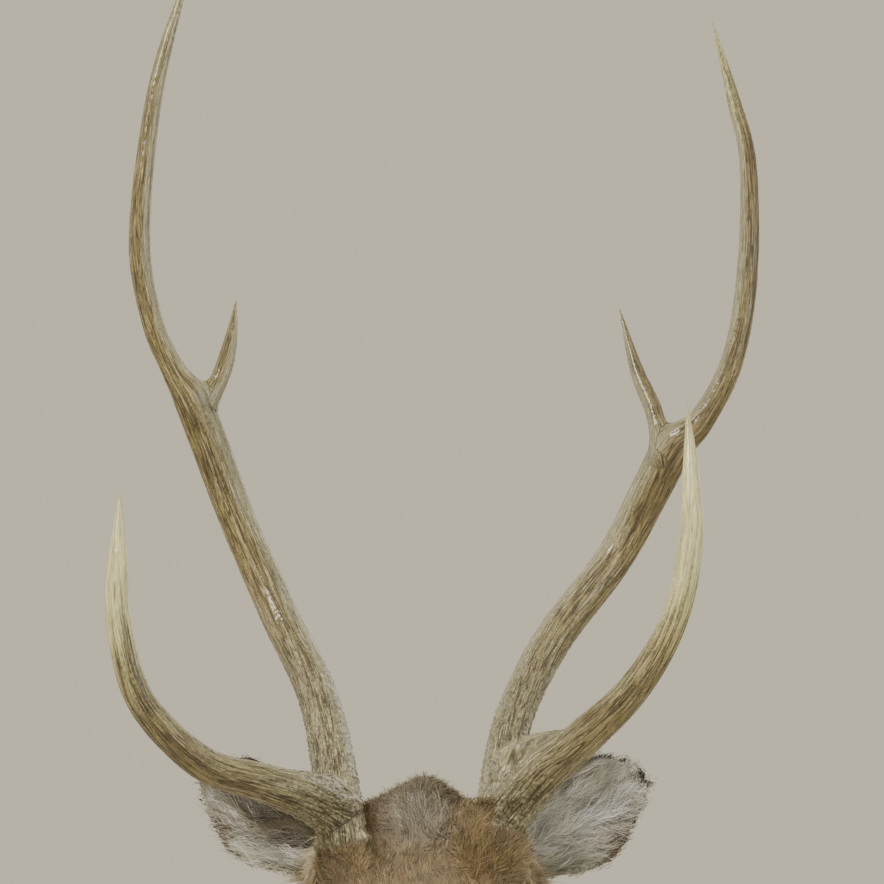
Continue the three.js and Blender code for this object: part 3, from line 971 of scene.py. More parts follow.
# ---- Sculpting ----
@dataclass(frozen=True)
class Stroke:
    """A line along which the hide is pushed out or in.

    Attributes:
        path: Points of the line in the head's axes (back, up, across), or in the scene if on_body.
        depth: How far the hide moves out, or in if negative, at the line.
        reach: How far to each side the push spreads.
        paired: Whether the other side gets its mirror image.
        on_body: Whether the points are places in the scene.
    """

    path: tuple[tuple[float, float, float], ...]
    depth: float
    reach: float
    paired: bool = True
    on_body: bool = False

    def push(self, places: Array) -> Array:
        """Works out how far each place moves.

        Args:
            places: Vertex places, one row each.

        Returns:
            The signed distance along each vertex's normal.
        """
        marks = [Vector(point) if self.on_body else HEAD.world(*point) for point in self.path]
        moved = np.zeros(len(places))
        for side in (1, -1) if self.paired else (1,):
            nearest = np.full(len(places), 1e9)
            line = np.array([(side * mark.x, mark.y, mark.z) for mark in marks])
            for start, end in zip(line, line[1:] if len(line) > 1 else line):
                run = end - start
                share = np.clip((places - start) @ run / max(run @ run, 1e-12), 0.0, 1.0)
                nearest = np.minimum(nearest, np.linalg.norm(places - start - share[:, None] * run, axis=1))
            moved = np.where(np.abs(moved) > bell(nearest, self.reach) * abs(self.depth), moved,
                             self.depth * bell(nearest, self.reach))
        return moved


FACE_STROKES = (
    Stroke(((0.196, 0.006, 0.056), (0.176, 0.002, 0.053)), 0.003, 0.011),
    Stroke(((0.150, -0.034, 0.046), (0.172, -0.036, 0.056), (0.205, -0.034, 0.060),
            (0.240, -0.026, 0.057)), 0.003, 0.009),
    Stroke(((0.222, -0.004, 0.060), (0.240, 0.000, 0.056)), -0.003, 0.012),
    Stroke(((0.168, -0.025, 0.050), (0.152, -0.036, 0.040)), -0.0035, 0.004),
    Stroke(((0.140, -0.020, 0.034), (0.100, -0.026, 0.028), (0.070, -0.024, 0.024)), -0.003, 0.011),
    Stroke(((0.130, -0.062, 0.034), (0.165, -0.072, 0.044), (0.195, -0.080, 0.045)), -0.003, 0.016),
    Stroke(((0.215, -0.085, 0.046), (0.235, -0.098, 0.042)), 0.005, 0.022),
    Stroke(((0.130, -0.099, 0.020), (0.175, -0.112, 0.026), (0.215, -0.124, 0.030)), 0.0025, 0.008),
    Stroke(((0.150, -0.118, 0.0), (0.195, -0.134, 0.0)), -0.004, 0.014, paired=False),
    Stroke(((0.052, -0.048, 0.026), (0.020, -0.036, 0.024)), 0.002, 0.010),
    Stroke(((0.240, 0.030, 0.0), (0.200, 0.022, 0.0)), -0.0025, 0.014, paired=False),
)
FINE_STROKES = (
    Stroke(((0.0, -0.047, 0.0), (0.004, -0.047, 0.012), (0.018, -0.047, 0.024), (0.045, -0.050, 0.029),
            (0.072, -0.056, 0.030), (0.082, -0.060, 0.031)), -0.0035, 0.0026),
    Stroke(((0.006, -0.041, 0.010), (0.020, -0.040, 0.024), (0.045, -0.043, 0.030)), 0.0016, 0.005),
    Stroke(((0.010, -0.054, 0.008), (0.030, -0.056, 0.022)), 0.0012, 0.005),
    Stroke(((0.0, -0.044, 0.0), (-0.002, -0.032, 0.0)), -0.002, 0.0022, paired=False),
    Stroke(((0.003, -0.026, 0.0075), (0.004, -0.020, 0.012), (0.008, -0.014, 0.0185),
            (0.014, -0.013, 0.022)), -0.007, 0.0032),
    Stroke(((0.002, -0.030, 0.012), (0.008, -0.025, 0.021), (0.018, -0.018, 0.026)), 0.0022, 0.004),
    Stroke(((0.006, -0.006, 0.010), (0.013, -0.003, 0.020), (0.022, -0.008, 0.025)), 0.0016, 0.004),
    Stroke(((0.170, -0.0235, 0.0495), (0.156, -0.034, 0.043)), -0.0022, 0.0016),
)
BODY_STROKES = tuple(replace(line, on_body=True) for line in (
    Stroke(((0.040, -0.236, 0.330), (0.060, -0.235, 0.230), (0.078, -0.238, 0.120),
            (0.088, -0.240, 0.020)), 0.006, 0.024),
    Stroke(((0.020, -0.252, 0.300), (0.030, -0.264, 0.200), (0.040, -0.272, 0.100)), -0.005, 0.020),
    Stroke(((0.066, -0.190, 0.380), (0.086, -0.150, 0.280), (0.110, -0.110, 0.190)), 0.004, 0.028),
    Stroke(((0.120, -0.075, 0.170), (0.142, -0.120, 0.060), (0.130, -0.190, -0.060)), 0.008, 0.030),
    Stroke(((0.140, -0.050, 0.120), (0.160, -0.080, 0.000), (0.160, -0.110, -0.080)), -0.005, 0.022),
    Stroke(((0.0, -0.270, -0.010), (0.0, -0.262, -0.110), (0.0, -0.190, -0.190)), 0.006, 0.022, paired=False),
    Stroke(((0.050, -0.262, -0.020), (0.056, -0.250, -0.120), (0.060, -0.180, -0.200)), -0.007, 0.024),
    Stroke(((0.135, -0.150, -0.130), (0.140, -0.110, -0.215)), 0.005, 0.030),
    Stroke(((0.030, -0.352, 0.478), (0.062, -0.346, 0.480)), 0.006, 0.014, paired=False),
))


# ---- Ears ----
@dataclass(frozen=True)
class Ear:
    """A cupped ear: a leaf of cartilage with its edges rolled forward and ridges down its inner face."""

    side: Side
    root: tuple[float, float, float] = (0.052, -0.286, 0.489)
    tip: tuple[float, float, float] = (0.164, -0.221, 0.553)
    half: float = 0.0355
    cup: float = 0.017
    tip_starts: float = 0.60
    lean: float = 0.10
    corner: float = 0.0056
    thick: float = 0.0032
    across_steps: int = 34
    along_steps: int = 46

    def axes(self) -> tuple[Array, ...]:
        """Gives the ear's root, its axis, the way it opens, and the way its upper edge lies."""
        root = Vector((self.side.value * self.root[0], *self.root[1:]))
        tip = Vector((self.side.value * self.tip[0], *self.tip[1:]))
        axis = tip - root
        opens = Vector((self.side.value * 0.25, -1.0, -0.05))
        opens = (opens - axis.normalized() * opens.dot(axis.normalized())).normalized()
        upper = opens.cross(axis.normalized()) * self.side.value
        return tuple(np.array(vector) for vector in (root, axis, opens, upper.normalized()))

    def half_width(self, along: Array) -> Array:
        """Gives half the ear's width at a share of its length."""
        leaf = np.sqrt(np.maximum(0.0, 1 - ((along - 0.42) / 0.59) ** 2))
        root = np.sqrt(0.5 + 0.5 * np.sin(math.pi * (1.25 * np.minimum(along, 0.8) - 0.5)))
        tip = np.clip((along - self.tip_starts) / (1.005 - self.tip_starts), 0.0, 1.0)
        return np.maximum(self.half * (0.35 * root + 0.65 * leaf) * np.sqrt(1 - tip**2.4), 0.002)

    def drift(self, along: Array) -> Array:
        """Gives how far the ear's middle lies above its axis: low in the middle, high at the upper corner."""
        sag = -self.lean * self.half_width(along) * np.sin(math.pi * np.clip(along, 0, 1))
        return sag + self.corner * bell(along - 0.84, 0.17)

    def surface(self, along: Array, across: Array) -> Array:
        """Places points of the ear's inner face.

        Args:
            along: Share of the ear's length, 0 at the root.
            across: Place across it, -1 at the lower edge and 1 at the upper.

        Returns:
            Points in the scene, one row each.
        """
        root, axis, opens, upper = self.axes()
        half = self.half_width(along)
        cup = self.cup * (1 - 0.55 * along) * np.minimum(1.0, half / self.half + 0.35)
        depth = cup * (1 - across**2)
        ridges = 0.0016 * np.cos(across * 11.0 + along * 2.0) * ramp(0.1, 0.35, along) * ramp(1.0, 0.7, along)
        ridges = ridges * ramp(1.0, 0.75, np.abs(across))
        roll = 0.004 * ramp(0.75, 1.0, np.abs(across)) * ramp(0.95, 0.5, along)
        pocket = 0.004 * bell(across + 0.92, 0.16) * bell(along - 0.3, 0.12)
        wave = 0.0022 * np.sin(along * 9.0 + across * 2.0) * ramp(0.5, 1.0, np.abs(across))
        width = across * half * (1.0 - 0.06 * ramp(0.8, 1.0, np.abs(across)) * ramp(0.5, 0.1, along))
        points = root + along[:, None] * axis + (width + self.drift(along))[:, None] * upper
        return points + (roll + ridges + pocket + wave - depth)[:, None] * opens

    def read(self, places: Array) -> tuple[Array, Array]:
        """Finds how far along and across the ear each place lies."""
        root, axis, _, upper = self.axes()
        offset = places - root
        along = offset @ axis / (axis @ axis)
        held = np.clip(along, 0.0, 1.0)
        return along, (offset @ upper - self.drift(held)) / self.half_width(held)

    def build(self) -> Mesh:
        """Makes the ear as a closed shell, from a grid bent into a leaf and given a wall.

        Returns:
            A mesh in place, its root inside the head.
        """
        form = bmesh.new()
        bmesh.ops.create_grid(form, x_segments=self.across_steps, y_segments=self.along_steps, size=1.0)
        flat = np.array([vertex.co[:2] for vertex in form.verts])
        bent = self.surface((flat[:, 1] + 1) / 2, flat[:, 0])
        for vertex, place in zip(form.verts, bent):
            vertex.co = place
        bmesh.ops.recalc_face_normals(form, faces=form.faces)
        bmesh.ops.solidify(form, geom=form.faces[:], thickness=self.thick)
        bmesh.ops.recalc_face_normals(form, faces=form.faces)
        return mesh_from(form, f"ear_shell_{self.side.label}")


# ---- Antlers ----
Knot = tuple[float, float, float, float]


class Rod:
    """A round length of antler on a smooth run through knots, with a frame that turns along with it."""

    def __init__(self, knots: Sequence[Knot], steps: int = 14) -> None:
        """Draws the run.

        Args:
            knots: Places, each with the radius there.
            steps: How many points lie between two knots.
        """
        marks = np.array(knots)
        ends = np.vstack([2 * marks[0] - marks[1], marks, 2 * marks[-1] - marks[-2]])
        share = np.linspace(0, 1, steps, endpoint=False)[:, None]
        rows = [self.between(ends[index:index + 4], share) for index in range(len(marks) - 1)]
        run = np.vstack([*rows, marks[-1:]])
        self.middle = run[:, :3]
        self.radius = np.maximum(run[:, 3], 0.0006)
        gaps = np.linalg.norm(np.diff(self.middle, axis=0), axis=1)
        self.along = np.concatenate([[0.0], np.cumsum(gaps)])
        self.heading = unit(np.gradient(self.middle, axis=0))
        first = [np.cross(self.heading[0], (0.0, 1.0, 0.0))]
        for heading in self.heading[1:]:
            first.append(first[-1] - heading * (first[-1] @ heading))
        self.first = unit(np.array(first))
        self.second = np.cross(self.heading, self.first)

    @staticmethod
    def between(ends: Array, share: Array) -> Array:
        """Runs smoothly from the second to the third of four points."""
        before, start, end, after = ends
        square = 2 * before - 5 * start + 4 * end - after
        cube = 3 * start - before - 3 * end + after
        return 0.5 * (2 * start + (end - before) * share + square * share**2 + cube * share**3)

    def tube(self) -> Mesh:
        """Sweeps a round section along the run."""
        curve = bpy.data.curves.new("tube", "CURVE")
        curve.dimensions = "3D"
        curve.bevel_depth = 1.0
        curve.bevel_resolution = 8
        curve.use_fill_caps = True
        spline = curve.splines.new("POLY")
        spline.points.add(len(self.middle) - 1)
        for point, place, radius in zip(spline.points, self.middle, self.radius):
            point.co = (*place, 1.0)
            point.radius = radius
        holder = bpy.data.objects.new("tube", curve)
        bpy.context.scene.collection.objects.link(holder)
        graph = bpy.context.evaluated_depsgraph_get()
        mesh = bpy.data.meshes.new_from_object(holder.evaluated_get(graph))
        bpy.data.objects.remove(holder)
        return mesh

    def nearest(self, places: Array) -> tuple[Array, Array]:
        """Finds the closest point of the run to each place.

        Args:
            places: Places, one row each.

        Returns:
            The closest points' numbers and the distances to them.
        """
        gap = np.full(len(places), 1e9)
        index = np.zeros(len(places), dtype=int)
        for number, middle in enumerate(self.middle):
            distance = np.linalg.norm(places - middle, axis=1)
            closer = distance < gap
            gap[closer] = distance[closer]
            index[closer] = number
        return index, gap

    def read(self, places: Array, index: Array) -> tuple[Array, Array]:
        """Measures places along and around the run.

        Args:
            places: Places, one row each.
            index: The closest points' numbers.

        Returns:
            The length from the foot, and the direction round the run as a point on a circle of radius 1.
        """
        offset = places - self.middle[index]
        ahead = np.sum(offset * self.heading[index], axis=1)
        round_it = np.stack([np.sum(offset * self.first[index], axis=1),
                             np.sum(offset * self.second[index], axis=1)], axis=1)
        return self.along[index] + ahead, unit(round_it)


@dataclass(frozen=True)
class Antler:
    """One antler: a long beam with a burr at its foot, a brow tine and an inner tine.

    Each knot is a place and the radius there. The beam starts inside the skull.
    """

    side: Side
    beam: tuple[Knot, ...]
    inner: tuple[Knot, ...]
    brow: tuple[Knot, ...]
    webs: tuple[tuple[Knot, ...], ...]
    forks: tuple[Knot, ...]
    ivory_from: float
    seed: float
    burr_at: float = 0.0570
    burr_reach: float = 0.0052
    burr_rise: float = 0.0030
    voxel: float = 0.00145
    groove_circle: float = 0.013
    pedicle_flare: tuple[float, float, float] = (0.0150, 0.0122, 0.0104)
    pedicle_at: tuple[float, float, float] = (0.012, 0.034, 0.056)

    def pedicle(self) -> Rod:
        """Gives the hide's stub under the burr, wider than the bone by the hair's depth and more."""
        rod = Rod(self.beam)
        knots = []
        for along, flare in zip(self.pedicle_at, self.pedicle_flare):
            place = [np.interp(along, rod.along, rod.middle[:, axis]) for axis in range(3)]
            knots.append((*place, np.interp(along, rod.along, rod.radius) + flare))
        return Rod(knots, 4)

    def carve(self, mesh: Mesh) -> None:
        """Cuts the grooves and raises the pearls and the burr, and stores what the finish reads.

        Args:
            mesh: The antler's plain surface.
        """
        places = coords(mesh)
        facing = normals(mesh)
        rods = [Rod(self.beam), Rod(self.inner), Rod(self.brow)]
        found = [rod.nearest(places) for rod in rods]
        snug = np.stack([gap / np.maximum(rod.radius[index], 0.002)
                         for rod, (index, gap) in zip(rods, found)])
        kind = np.argmin(snug, axis=0)
        foot = np.empty(len(places))
        round_it = np.empty((len(places), 2))
        tip_share = np.empty(len(places))
        radius = np.empty(len(places))
        for number, (rod, (index, _)) in enumerate(zip(rods, found)):
            along, direction = rod.read(places, index)
            mine = kind == number
            foot[mine] = along[mine]
            round_it[mine] = direction[mine]
            tip_share[mine] = (along / rod.along[-1])[mine]
            radius[mine] = rod.radius[index][mine]
        circle = round_it * self.groove_circle + 0.07 * kind[:, None]
        start = foot + self.seed
        rows = [(x, y, along) for (x, y), along in zip(circle.tolist(), start.tolist())]
        streaks = [noise.noise((x * 260, y * 260, along * 9))
                   + 0.6 * noise.noise((x * 620, y * 620, along * 21)) for x, y, along in rows]
        ragged = tip_share + 0.2 * np.array(streaks)
        wear = np.where(kind == 2, ramp(self.ivory_from, self.ivory_from + 0.30, ragged),
                        0.85 * ramp(0.86, 1.0, tip_share + 0.4 * (ragged - tip_share)))
        wear = np.where(kind == 1, 0.55 * ramp(0.6, 1.0, ragged), wear)
        base = np.where(kind == 0, ramp(0.40, 0.08, foot), ramp(0.12, 0.02, foot) * (kind == 2))
        on_beam, turn = rods[0].read(places, found[0][0])
        burr = bell(on_beam - self.burr_at, self.burr_reach) * (found[0][1] < 0.042)
        valley, pearl, knob = self.relief(circle, start, base)
        depth = np.clip(radius * 0.055, 0.0001, 0.0008) * (1 - 0.9 * wear)
        rise = -depth * valley * (1 - 0.4 * base) + 0.0019 * pearl * base
        ruffle = np.array([noise.noise((x * 3.1, y * 3.1, self.seed)) for x, y in turn.tolist()])
        rise += burr * (self.burr_rise * (1 + 0.6 * ruffle) + 0.0024 * knob)
        set_coords(mesh, places + rise[:, None] * facing)
        outward = facing @ unit(np.array([[self.side.value * 0.9, -0.35, 0.0]]))[0]
        floats(mesh, "relief", np.clip(1 - 0.8 * valley + 0.5 * pearl * base, 0, 1))
        floats(mesh, "wear", wear)
        floats(mesh, "shade", ramp(0.45, -0.5, outward + 0.25 * knob) * np.where(kind == 2, 0.35, 1.0))
        floats(mesh, "knob", ramp(0.70, 0.88, knob) * burr * 0.5)
        floats(mesh, "base", np.clip(base + 0.3 * burr, 0, 1))
        vectors(mesh, "run", np.column_stack([circle, start]))

    def relief(self, circle: Array, start: Array,
               base: Array) -> tuple[Array, Array, Array]:
        """Works out the grooves, pearls and knobs.

        Args:
            circle: The place round the rod, in metres on the groove circle.
            start: The length from the foot.
            base: How near the place is to the antler's base, 0 to 1.

        Returns:
            The depth of the grooves, the height of the pearls and the height of the knobs, 0 to 1.
        """
        valley = np.empty(len(start))
        pearl = np.zeros(len(start))
        knob = np.zeros(len(start))
        rows = zip(circle.tolist(), start.tolist(), base.tolist())
        for index, ((x, y), along, low) in enumerate(rows):
            wide = noise.noise((x * 330, y * 330, along * 17))
            tight = noise.noise((x * 640 + 9, y * 640, along * 38))
            valley[index] = 0.62 * math.exp(-((wide / 0.12) ** 2)) + 0.38 * math.exp(-((tight / 0.13) ** 2))
            if low > 0.02:
                cell = noise.voronoi((x * 400, y * 400, along * 230))[0][0]
                pearl[index] = max(0.0, 1.0 - 1.9 * cell)
                lump = noise.voronoi((x * 230, y * 230, along * 130 + 4))[0][0]
                knob[index] = max(0.0, 1.0 - 1.7 * lump)
        return valley, pearl, knob

    def build(self) -> Piece:
        """Makes the whole antler as one grown surface.

        Returns:
            The antler piece.
        """
        label = self.side.label
        form = bmesh.new()
        for knots in (self.beam, self.inner, self.brow, *self.webs):
            absorb(form, Rod(knots, 8).tube())
        piece = piece_from(f"antler_{label}", mesh_from(form, "antler"))
        modified(piece, "REMESH", mode="VOXEL", voxel_size=self.voxel)
        mesh = piece.data
        relaxed(mesh, 3)
        places = coords(mesh)
        near = np.zeros(len(places))
        for x, y, z, reach in self.forks:
            near = np.maximum(near, bell(np.linalg.norm(places - (x, y, z), axis=1), reach))
        relaxed(mesh, 130, near)
        self.carve(mesh)
        mesh.materials.clear()
        mesh.materials.append(AntlerFinish().build())
        mesh.name = piece.name
        mesh.polygons.foreach_set("use_smooth", [True] * len(mesh.polygons))
        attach(piece, BODY)
        names = ("beam", "upper_beam", "inner_tine", "brow_tine")
        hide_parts(*(f"antler_{label}_{name}" for name in names))
        return piece


RIGHT_ANTLER = Antler(
    side=Side.RIGHT,
    beam=(
        (-0.041, -0.328, 0.444, 0.0115), (-0.052, -0.336, 0.472, 0.0160), (-0.057, -0.336, 0.502, 0.0170),
        (-0.060, -0.316, 0.528, 0.0163), (-0.077, -0.236, 0.611, 0.0147), (-0.108, -0.183, 0.682, 0.0146),
        (-0.143, -0.172, 0.762, 0.0142), (-0.165, -0.196, 0.819, 0.0147), (-0.177, -0.213, 0.848, 0.0146),
        (-0.190, -0.220, 0.867, 0.0098), (-0.207, -0.228, 0.905, 0.0085), (-0.217, -0.237, 0.966, 0.0085),
        (-0.210, -0.241, 1.061, 0.0069), (-0.198, -0.243, 1.125, 0.0053), (-0.178, -0.246, 1.193, 0.0008),
    ),
    inner=((-0.170, -0.209, 0.836, 0.0110), (-0.156, -0.207, 0.865, 0.0080), (-0.149, -0.201, 0.893, 0.0058),
           (-0.145, -0.194, 0.932, 0.0008)),
    brow=(
        (-0.058, -0.334, 0.512, 0.0165), (-0.085, -0.376, 0.521, 0.0154), (-0.111, -0.402, 0.526, 0.0133),
        (-0.150, -0.436, 0.535, 0.0117), (-0.188, -0.473, 0.571, 0.0098), (-0.202, -0.490, 0.622, 0.0086),
        (-0.203, -0.493, 0.660, 0.0069), (-0.203, -0.489, 0.711, 0.0009),
    ),
    webs=(
        ((-0.060, -0.312, 0.530, 0.0120), (-0.073, -0.345, 0.529, 0.0130), (-0.092, -0.383, 0.526, 0.0110)),
    ),
    forks=((-0.070, -0.340, 0.528, 0.026), (-0.166, -0.208, 0.852, 0.015)),
    ivory_from=0.52,
    seed=1.7,
    burr_at=0.0520,
    pedicle_at=(0.011, 0.031, 0.051),
)
LEFT_ANTLER = Antler(
    side=Side.LEFT,
    beam=(
        (0.040, -0.328, 0.444, 0.0115), (0.050, -0.336, 0.472, 0.0160), (0.053, -0.336, 0.502, 0.0170),
        (0.055, -0.320, 0.527, 0.0163), (0.066, -0.254, 0.594, 0.0140), (0.097, -0.196, 0.664, 0.0146),
        (0.144, -0.172, 0.730, 0.0145), (0.174, -0.188, 0.784, 0.0155), (0.190, -0.207, 0.812, 0.0155),
        (0.210, -0.215, 0.829, 0.0104), (0.234, -0.224, 0.874, 0.0089), (0.246, -0.234, 0.940, 0.0084),
        (0.248, -0.239, 1.025, 0.0069), (0.238, -0.241, 1.076, 0.0054), (0.222, -0.245, 1.141, 0.0008),
    ),
    inner=((0.181, -0.206, 0.802, 0.0110), (0.176, -0.201, 0.838, 0.0078), (0.163, -0.192, 0.876, 0.0056),
           (0.151, -0.184, 0.927, 0.0008)),
    brow=(
        (0.056, -0.332, 0.508, 0.0165), (0.085, -0.376, 0.538, 0.0154), (0.108, -0.403, 0.554, 0.0136),
        (0.144, -0.446, 0.584, 0.0112), (0.169, -0.476, 0.624, 0.0095), (0.180, -0.490, 0.673, 0.0086),
        (0.181, -0.490, 0.723, 0.0058), (0.180, -0.484, 0.773, 0.0008),
    ),
    webs=(((0.058, -0.292, 0.553, 0.0120), (0.076, -0.340, 0.557, 0.0130), (0.102, -0.394, 0.553, 0.0110)),
          ((0.058, -0.300, 0.535, 0.0120), (0.072, -0.345, 0.533, 0.0140), (0.092, -0.383, 0.540, 0.0120))),
    forks=((0.074, -0.340, 0.550, 0.034), (0.180, -0.204, 0.822, 0.016)),
    ivory_from=0.42,
    seed=5.3,
)
ANTLERS = (RIGHT_ANTLER, LEFT_ANTLER)


# ---- Hide ----
class Hide:
    """The skin over head, neck and shoulders with its ears: one closed surface inside the coat."""

    NODES = ("shoulders", "neck", "head", "nose")
    SWELL = 0.0009
    VOXEL = 0.0052
    FINE_ZONES = ((0.040, 0.034), (0.026, 0.0235))
    HEAD_END = 0.30
    DEPTH_FACE = 0.0025
    DEPTH_BODY = 0.0095
    CROWN = (0.004, -0.298)
    CROWN_DEPTH = 0.002
    CREST = (
        ((0.001, -0.300, 0.504), (0.039, 0.035, 0.054)),
        ((-0.002, -0.296, 0.483), (0.085, 0.036, 0.060)),
        ((0.041, -0.346, 0.498), (0.025, 0.018, 0.028)),
    )
    RIM_HALF = 0.016

    def __init__(self, marks: Markings) -> None:
        """Sets up the hide.

        Args:
            marks: The coat's markings, shared with the hair.
        """
        self.marks = marks
        self.eyes = EYES
        self.ears = [Ear(side) for side in Side]
        self.piece: Piece | None = None

    def block(self) -> Piece:
        """Joins the solids of the flesh into one even surface.

        Returns:
            A piece with an even mesh over the outside of the coat.
        """
        form = bmesh.new()
        for name in self.NODES:
            part = bmesh.new()
            part.from_mesh(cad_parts[name].data)
            bmesh.ops.remove_doubles(part, verts=part.verts, dist=1e-6)
            part.normal_update()
            for vertex in part.verts:
                vertex.co += vertex.normal * self.SWELL
            absorb(form, mesh_from(part, "part"))
        for antler in ANTLERS:
            absorb(form, antler.pedicle().tube())
        for eye in self.eyes:
            plug = Matrix.Translation(eye.middle) @ Matrix.Diagonal((0.7, 1.0, 1.0, 1.0))
            bmesh.ops.create_icosphere(form, subdivisions=3, radius=0.019, matrix=plug)
        for middle, radii in self.CREST:
            crest = Matrix.Translation(middle) @ Matrix.Diagonal((*radii, 1.0))
            bmesh.ops.create_icosphere(form, subdivisions=3, radius=1.0, matrix=crest)
        piece = piece_from("hide", mesh_from(form, "hide"))
        modified(piece, "REMESH", mode="VOXEL", voxel_size=self.VOXEL)
        return piece

    def from_nose(self, places: Array) -> Array:
        """Gives the distance back from the nose tip on the head, and 1 on the neck and trunk."""
        along, _, _ = AXIS.read(places)
        return np.where(along < self.HEAD_END, HEAD.local(places)[0], 1.0)

    def coat_depth(self, places: Array) -> Array:
        """Gives how deep the hair lies over the skin at each place."""
        back = self.from_nose(places)
        along, _, _ = AXIS.read(places)
        depth = self.DEPTH_FACE + (self.DEPTH_BODY - self.DEPTH_FACE) * ramp(0.17, 0.34, along)
        depth = depth + 0.003 * ramp(0.17, 0.24, back) * ramp(0.3, 0.26, along)
        bare_nose = ramp(0.02, 0.008, back)
        depth = depth * (1 - 0.8 * bare_nose)
        wide = bell(places[:, 0] - self.CROWN[0], 0.036) * bell(places[:, 1] - self.CROWN[1], 0.032)
        return depth + self.CROWN_DEPTH * wide * ramp(0.485, 0.5, places[:, 2])

    def shape(self) -> None:
        """Draws the surface in by the coat's depth and sculpts the animal's form into it."""
        mesh = self.piece.data
        back = self.from_nose(coords(mesh))
        relaxed(mesh, 22, ramp(0.22, 0.34, back))
        relaxed(mesh, 4)
        places = coords(mesh)
        set_coords(mesh, places - normals(mesh) * (self.coat_depth(places) + self.SWELL)[:, None])
        relaxed(mesh, 4, ramp(0.49, 0.5, coords(mesh)[:, 2]) * 0.8)
        self.strokes(BODY_STROKES)
        refined(mesh, self.from_nose(coords(mesh)) < 0.5)
        relaxed(mesh, 4, ramp(0.3, 0.26, self.from_nose(coords(mesh))))
        self.strokes(FACE_STROKES)
        for muzzle, reach in self.FINE_ZONES:
            places = coords(mesh)
            fine = self.from_nose(places) < muzzle
            for eye in self.eyes:
                fine |= np.linalg.norm(places - np.array(eye.middle), axis=1) < reach
            refined(mesh, fine)
            relaxed(mesh, 2, 0.6)
        self.strokes(FINE_STROKES)
        for eye in self.eyes:
            eye.form_lids(mesh)

    def strokes(self, lines: Sequence[Stroke]) -> None:
        """Applies sculpting lines along the surface's normals."""
        mesh = self.piece.data
        for line in lines:
            places = coords(mesh)
            set_coords(mesh, places + line.push(places)[:, None] * normals(mesh))

    def join_ears(self) -> None:
        """Grows the ears into the head, so that one surface covers both."""
        for ear in self.ears:
            shell = piece_from("shell", ear.build())
            modified(self.piece, "BOOLEAN", operation="UNION", solver="MANIFOLD", object=shell)
            bpy.data.objects.remove(shell)
        mesh = self.piece.data
        near = np.zeros(len(mesh.vertices))
        for ear in self.ears:
            gap = np.linalg.norm(coords(mesh) - ear.axes()[0], axis=1)
            near = np.maximum(near, bell(gap, 0.02))
        relaxed(mesh, 6, near)

    def ear_edges(self, places: Array) -> tuple[Array, Array]:
        """Finds the dark rims of the ears and the brown patch low on each outer edge.

        Args:
            places: Places on the ears.

        Returns:
            The share of the rim's colour and the share of the patch's.
        """
        rim = np.zeros(len(places))
        patch = np.zeros(len(places))
        for ear in self.ears:
            along, across = ear.read(places)
            mine = (places[:, 0] * ear.side.value > 0.056) & (along > 0.2)
            narrow = np.minimum(1.0, ear.half_width(np.clip(along, 0.0, 1.0)) / self.RIM_HALF)
            edge = np.maximum(ramp(0.91, 0.95, np.abs(across) * narrow), ramp(0.985, 0.995, along))
            edge = edge * (1 - ramp(-0.5, -0.7, across) * ramp(0.60, 0.50, along))
            rim[mine] = edge[mine]
            patch[mine] = (ramp(-0.42, -0.66, across) * bell(along - 0.62, 0.12))[mine]
        return rim, patch

    def right_ear_painted_shadow(self, places: Array) -> Array:
        """Gives the share of painted shadow, grey-brown, over the upper half of the right ear, where the
        antler's shadow falls.

        Args:
            places: Places on the ears.

        Returns:
            1 where the painted shadow is full, easing to 0 over the ear's middle.
        """
        right = next(ear for ear in self.ears if ear.side is Side.RIGHT)
        _, across = right.read(places)
        return ramp(-0.40, -0.10, across) * (places[:, 0] < -0.056)

    def ear_faces(self, places: Array, facing: Array) -> Array:
        """Tells the ears from the rest of the hide.

        Args:
            places: Places on the hide.
            facing: The surface's normals there.

        Returns:
            0 off the ears, 1 on the back of an ear and 2 on its inner face.
        """
        kind = np.zeros(len(places))
        for ear in self.ears:
            along, across = ear.read(places)
            inside = (along > 0.16) & (along < 1.15) & ((np.abs(across) < 1.25) | (along > 0.8))
            inside &= (places[:, 0] * ear.side.value > 0.058) & (places[:, 2] > 0.44)
            front = facing @ ear.axes()[2] > -0.05
            kind = np.where(inside, np.where(front, 2.0, 1.0), kind)
        return kind

    def dress(self) -> None:
        """Stores the markings, the bare leather and the lie of the hair, and gives the hide its finish."""
        mesh = self.piece.data
        places = coords(mesh)
        facing = normals(mesh)
        _, up, _ = HEAD.local(places)
        back = self.from_nose(places)
        kind = self.ear_faces(places, facing)
        rim, patch = self.ear_edges(places)
        marking = blend(self.marks.read(places, kind), self.marks.black, rim * (kind > 0.5))
        marking = blend(marking, self.marks.dark_fawn, patch * (kind > 1.5))
        # Paints the antler's shadow, grey-brown, over the upper half of the right ear.
        marking = blend(marking, self.marks.painted_ear_shadow, self.right_ear_painted_shadow(places) * (kind > 1.5))
        colours(mesh, "marking", np.clip(marking, 0.0, 1.0))
        nose = ramp(0.017, 0.012, back + 0.35 * np.maximum(0, up + 0.004)) * ramp(-0.043, -0.040, up)
        bare = nose
        for eye in self.eyes:
            forward, rise, out, share = eye.read(places)
            bare = np.maximum(bare, ramp(1.36, 1.22, share) * (out > 0) * (np.hypot(forward, rise) < 0.03))
        floats(mesh, "bare", bare)
        along, angle, _ = AXIS.read(places)
        vectors(mesh, "weft", np.column_stack([angle * 0.07, along, kind]))
        mesh.materials.clear()
        mesh.materials.append(SkinFinish().build())

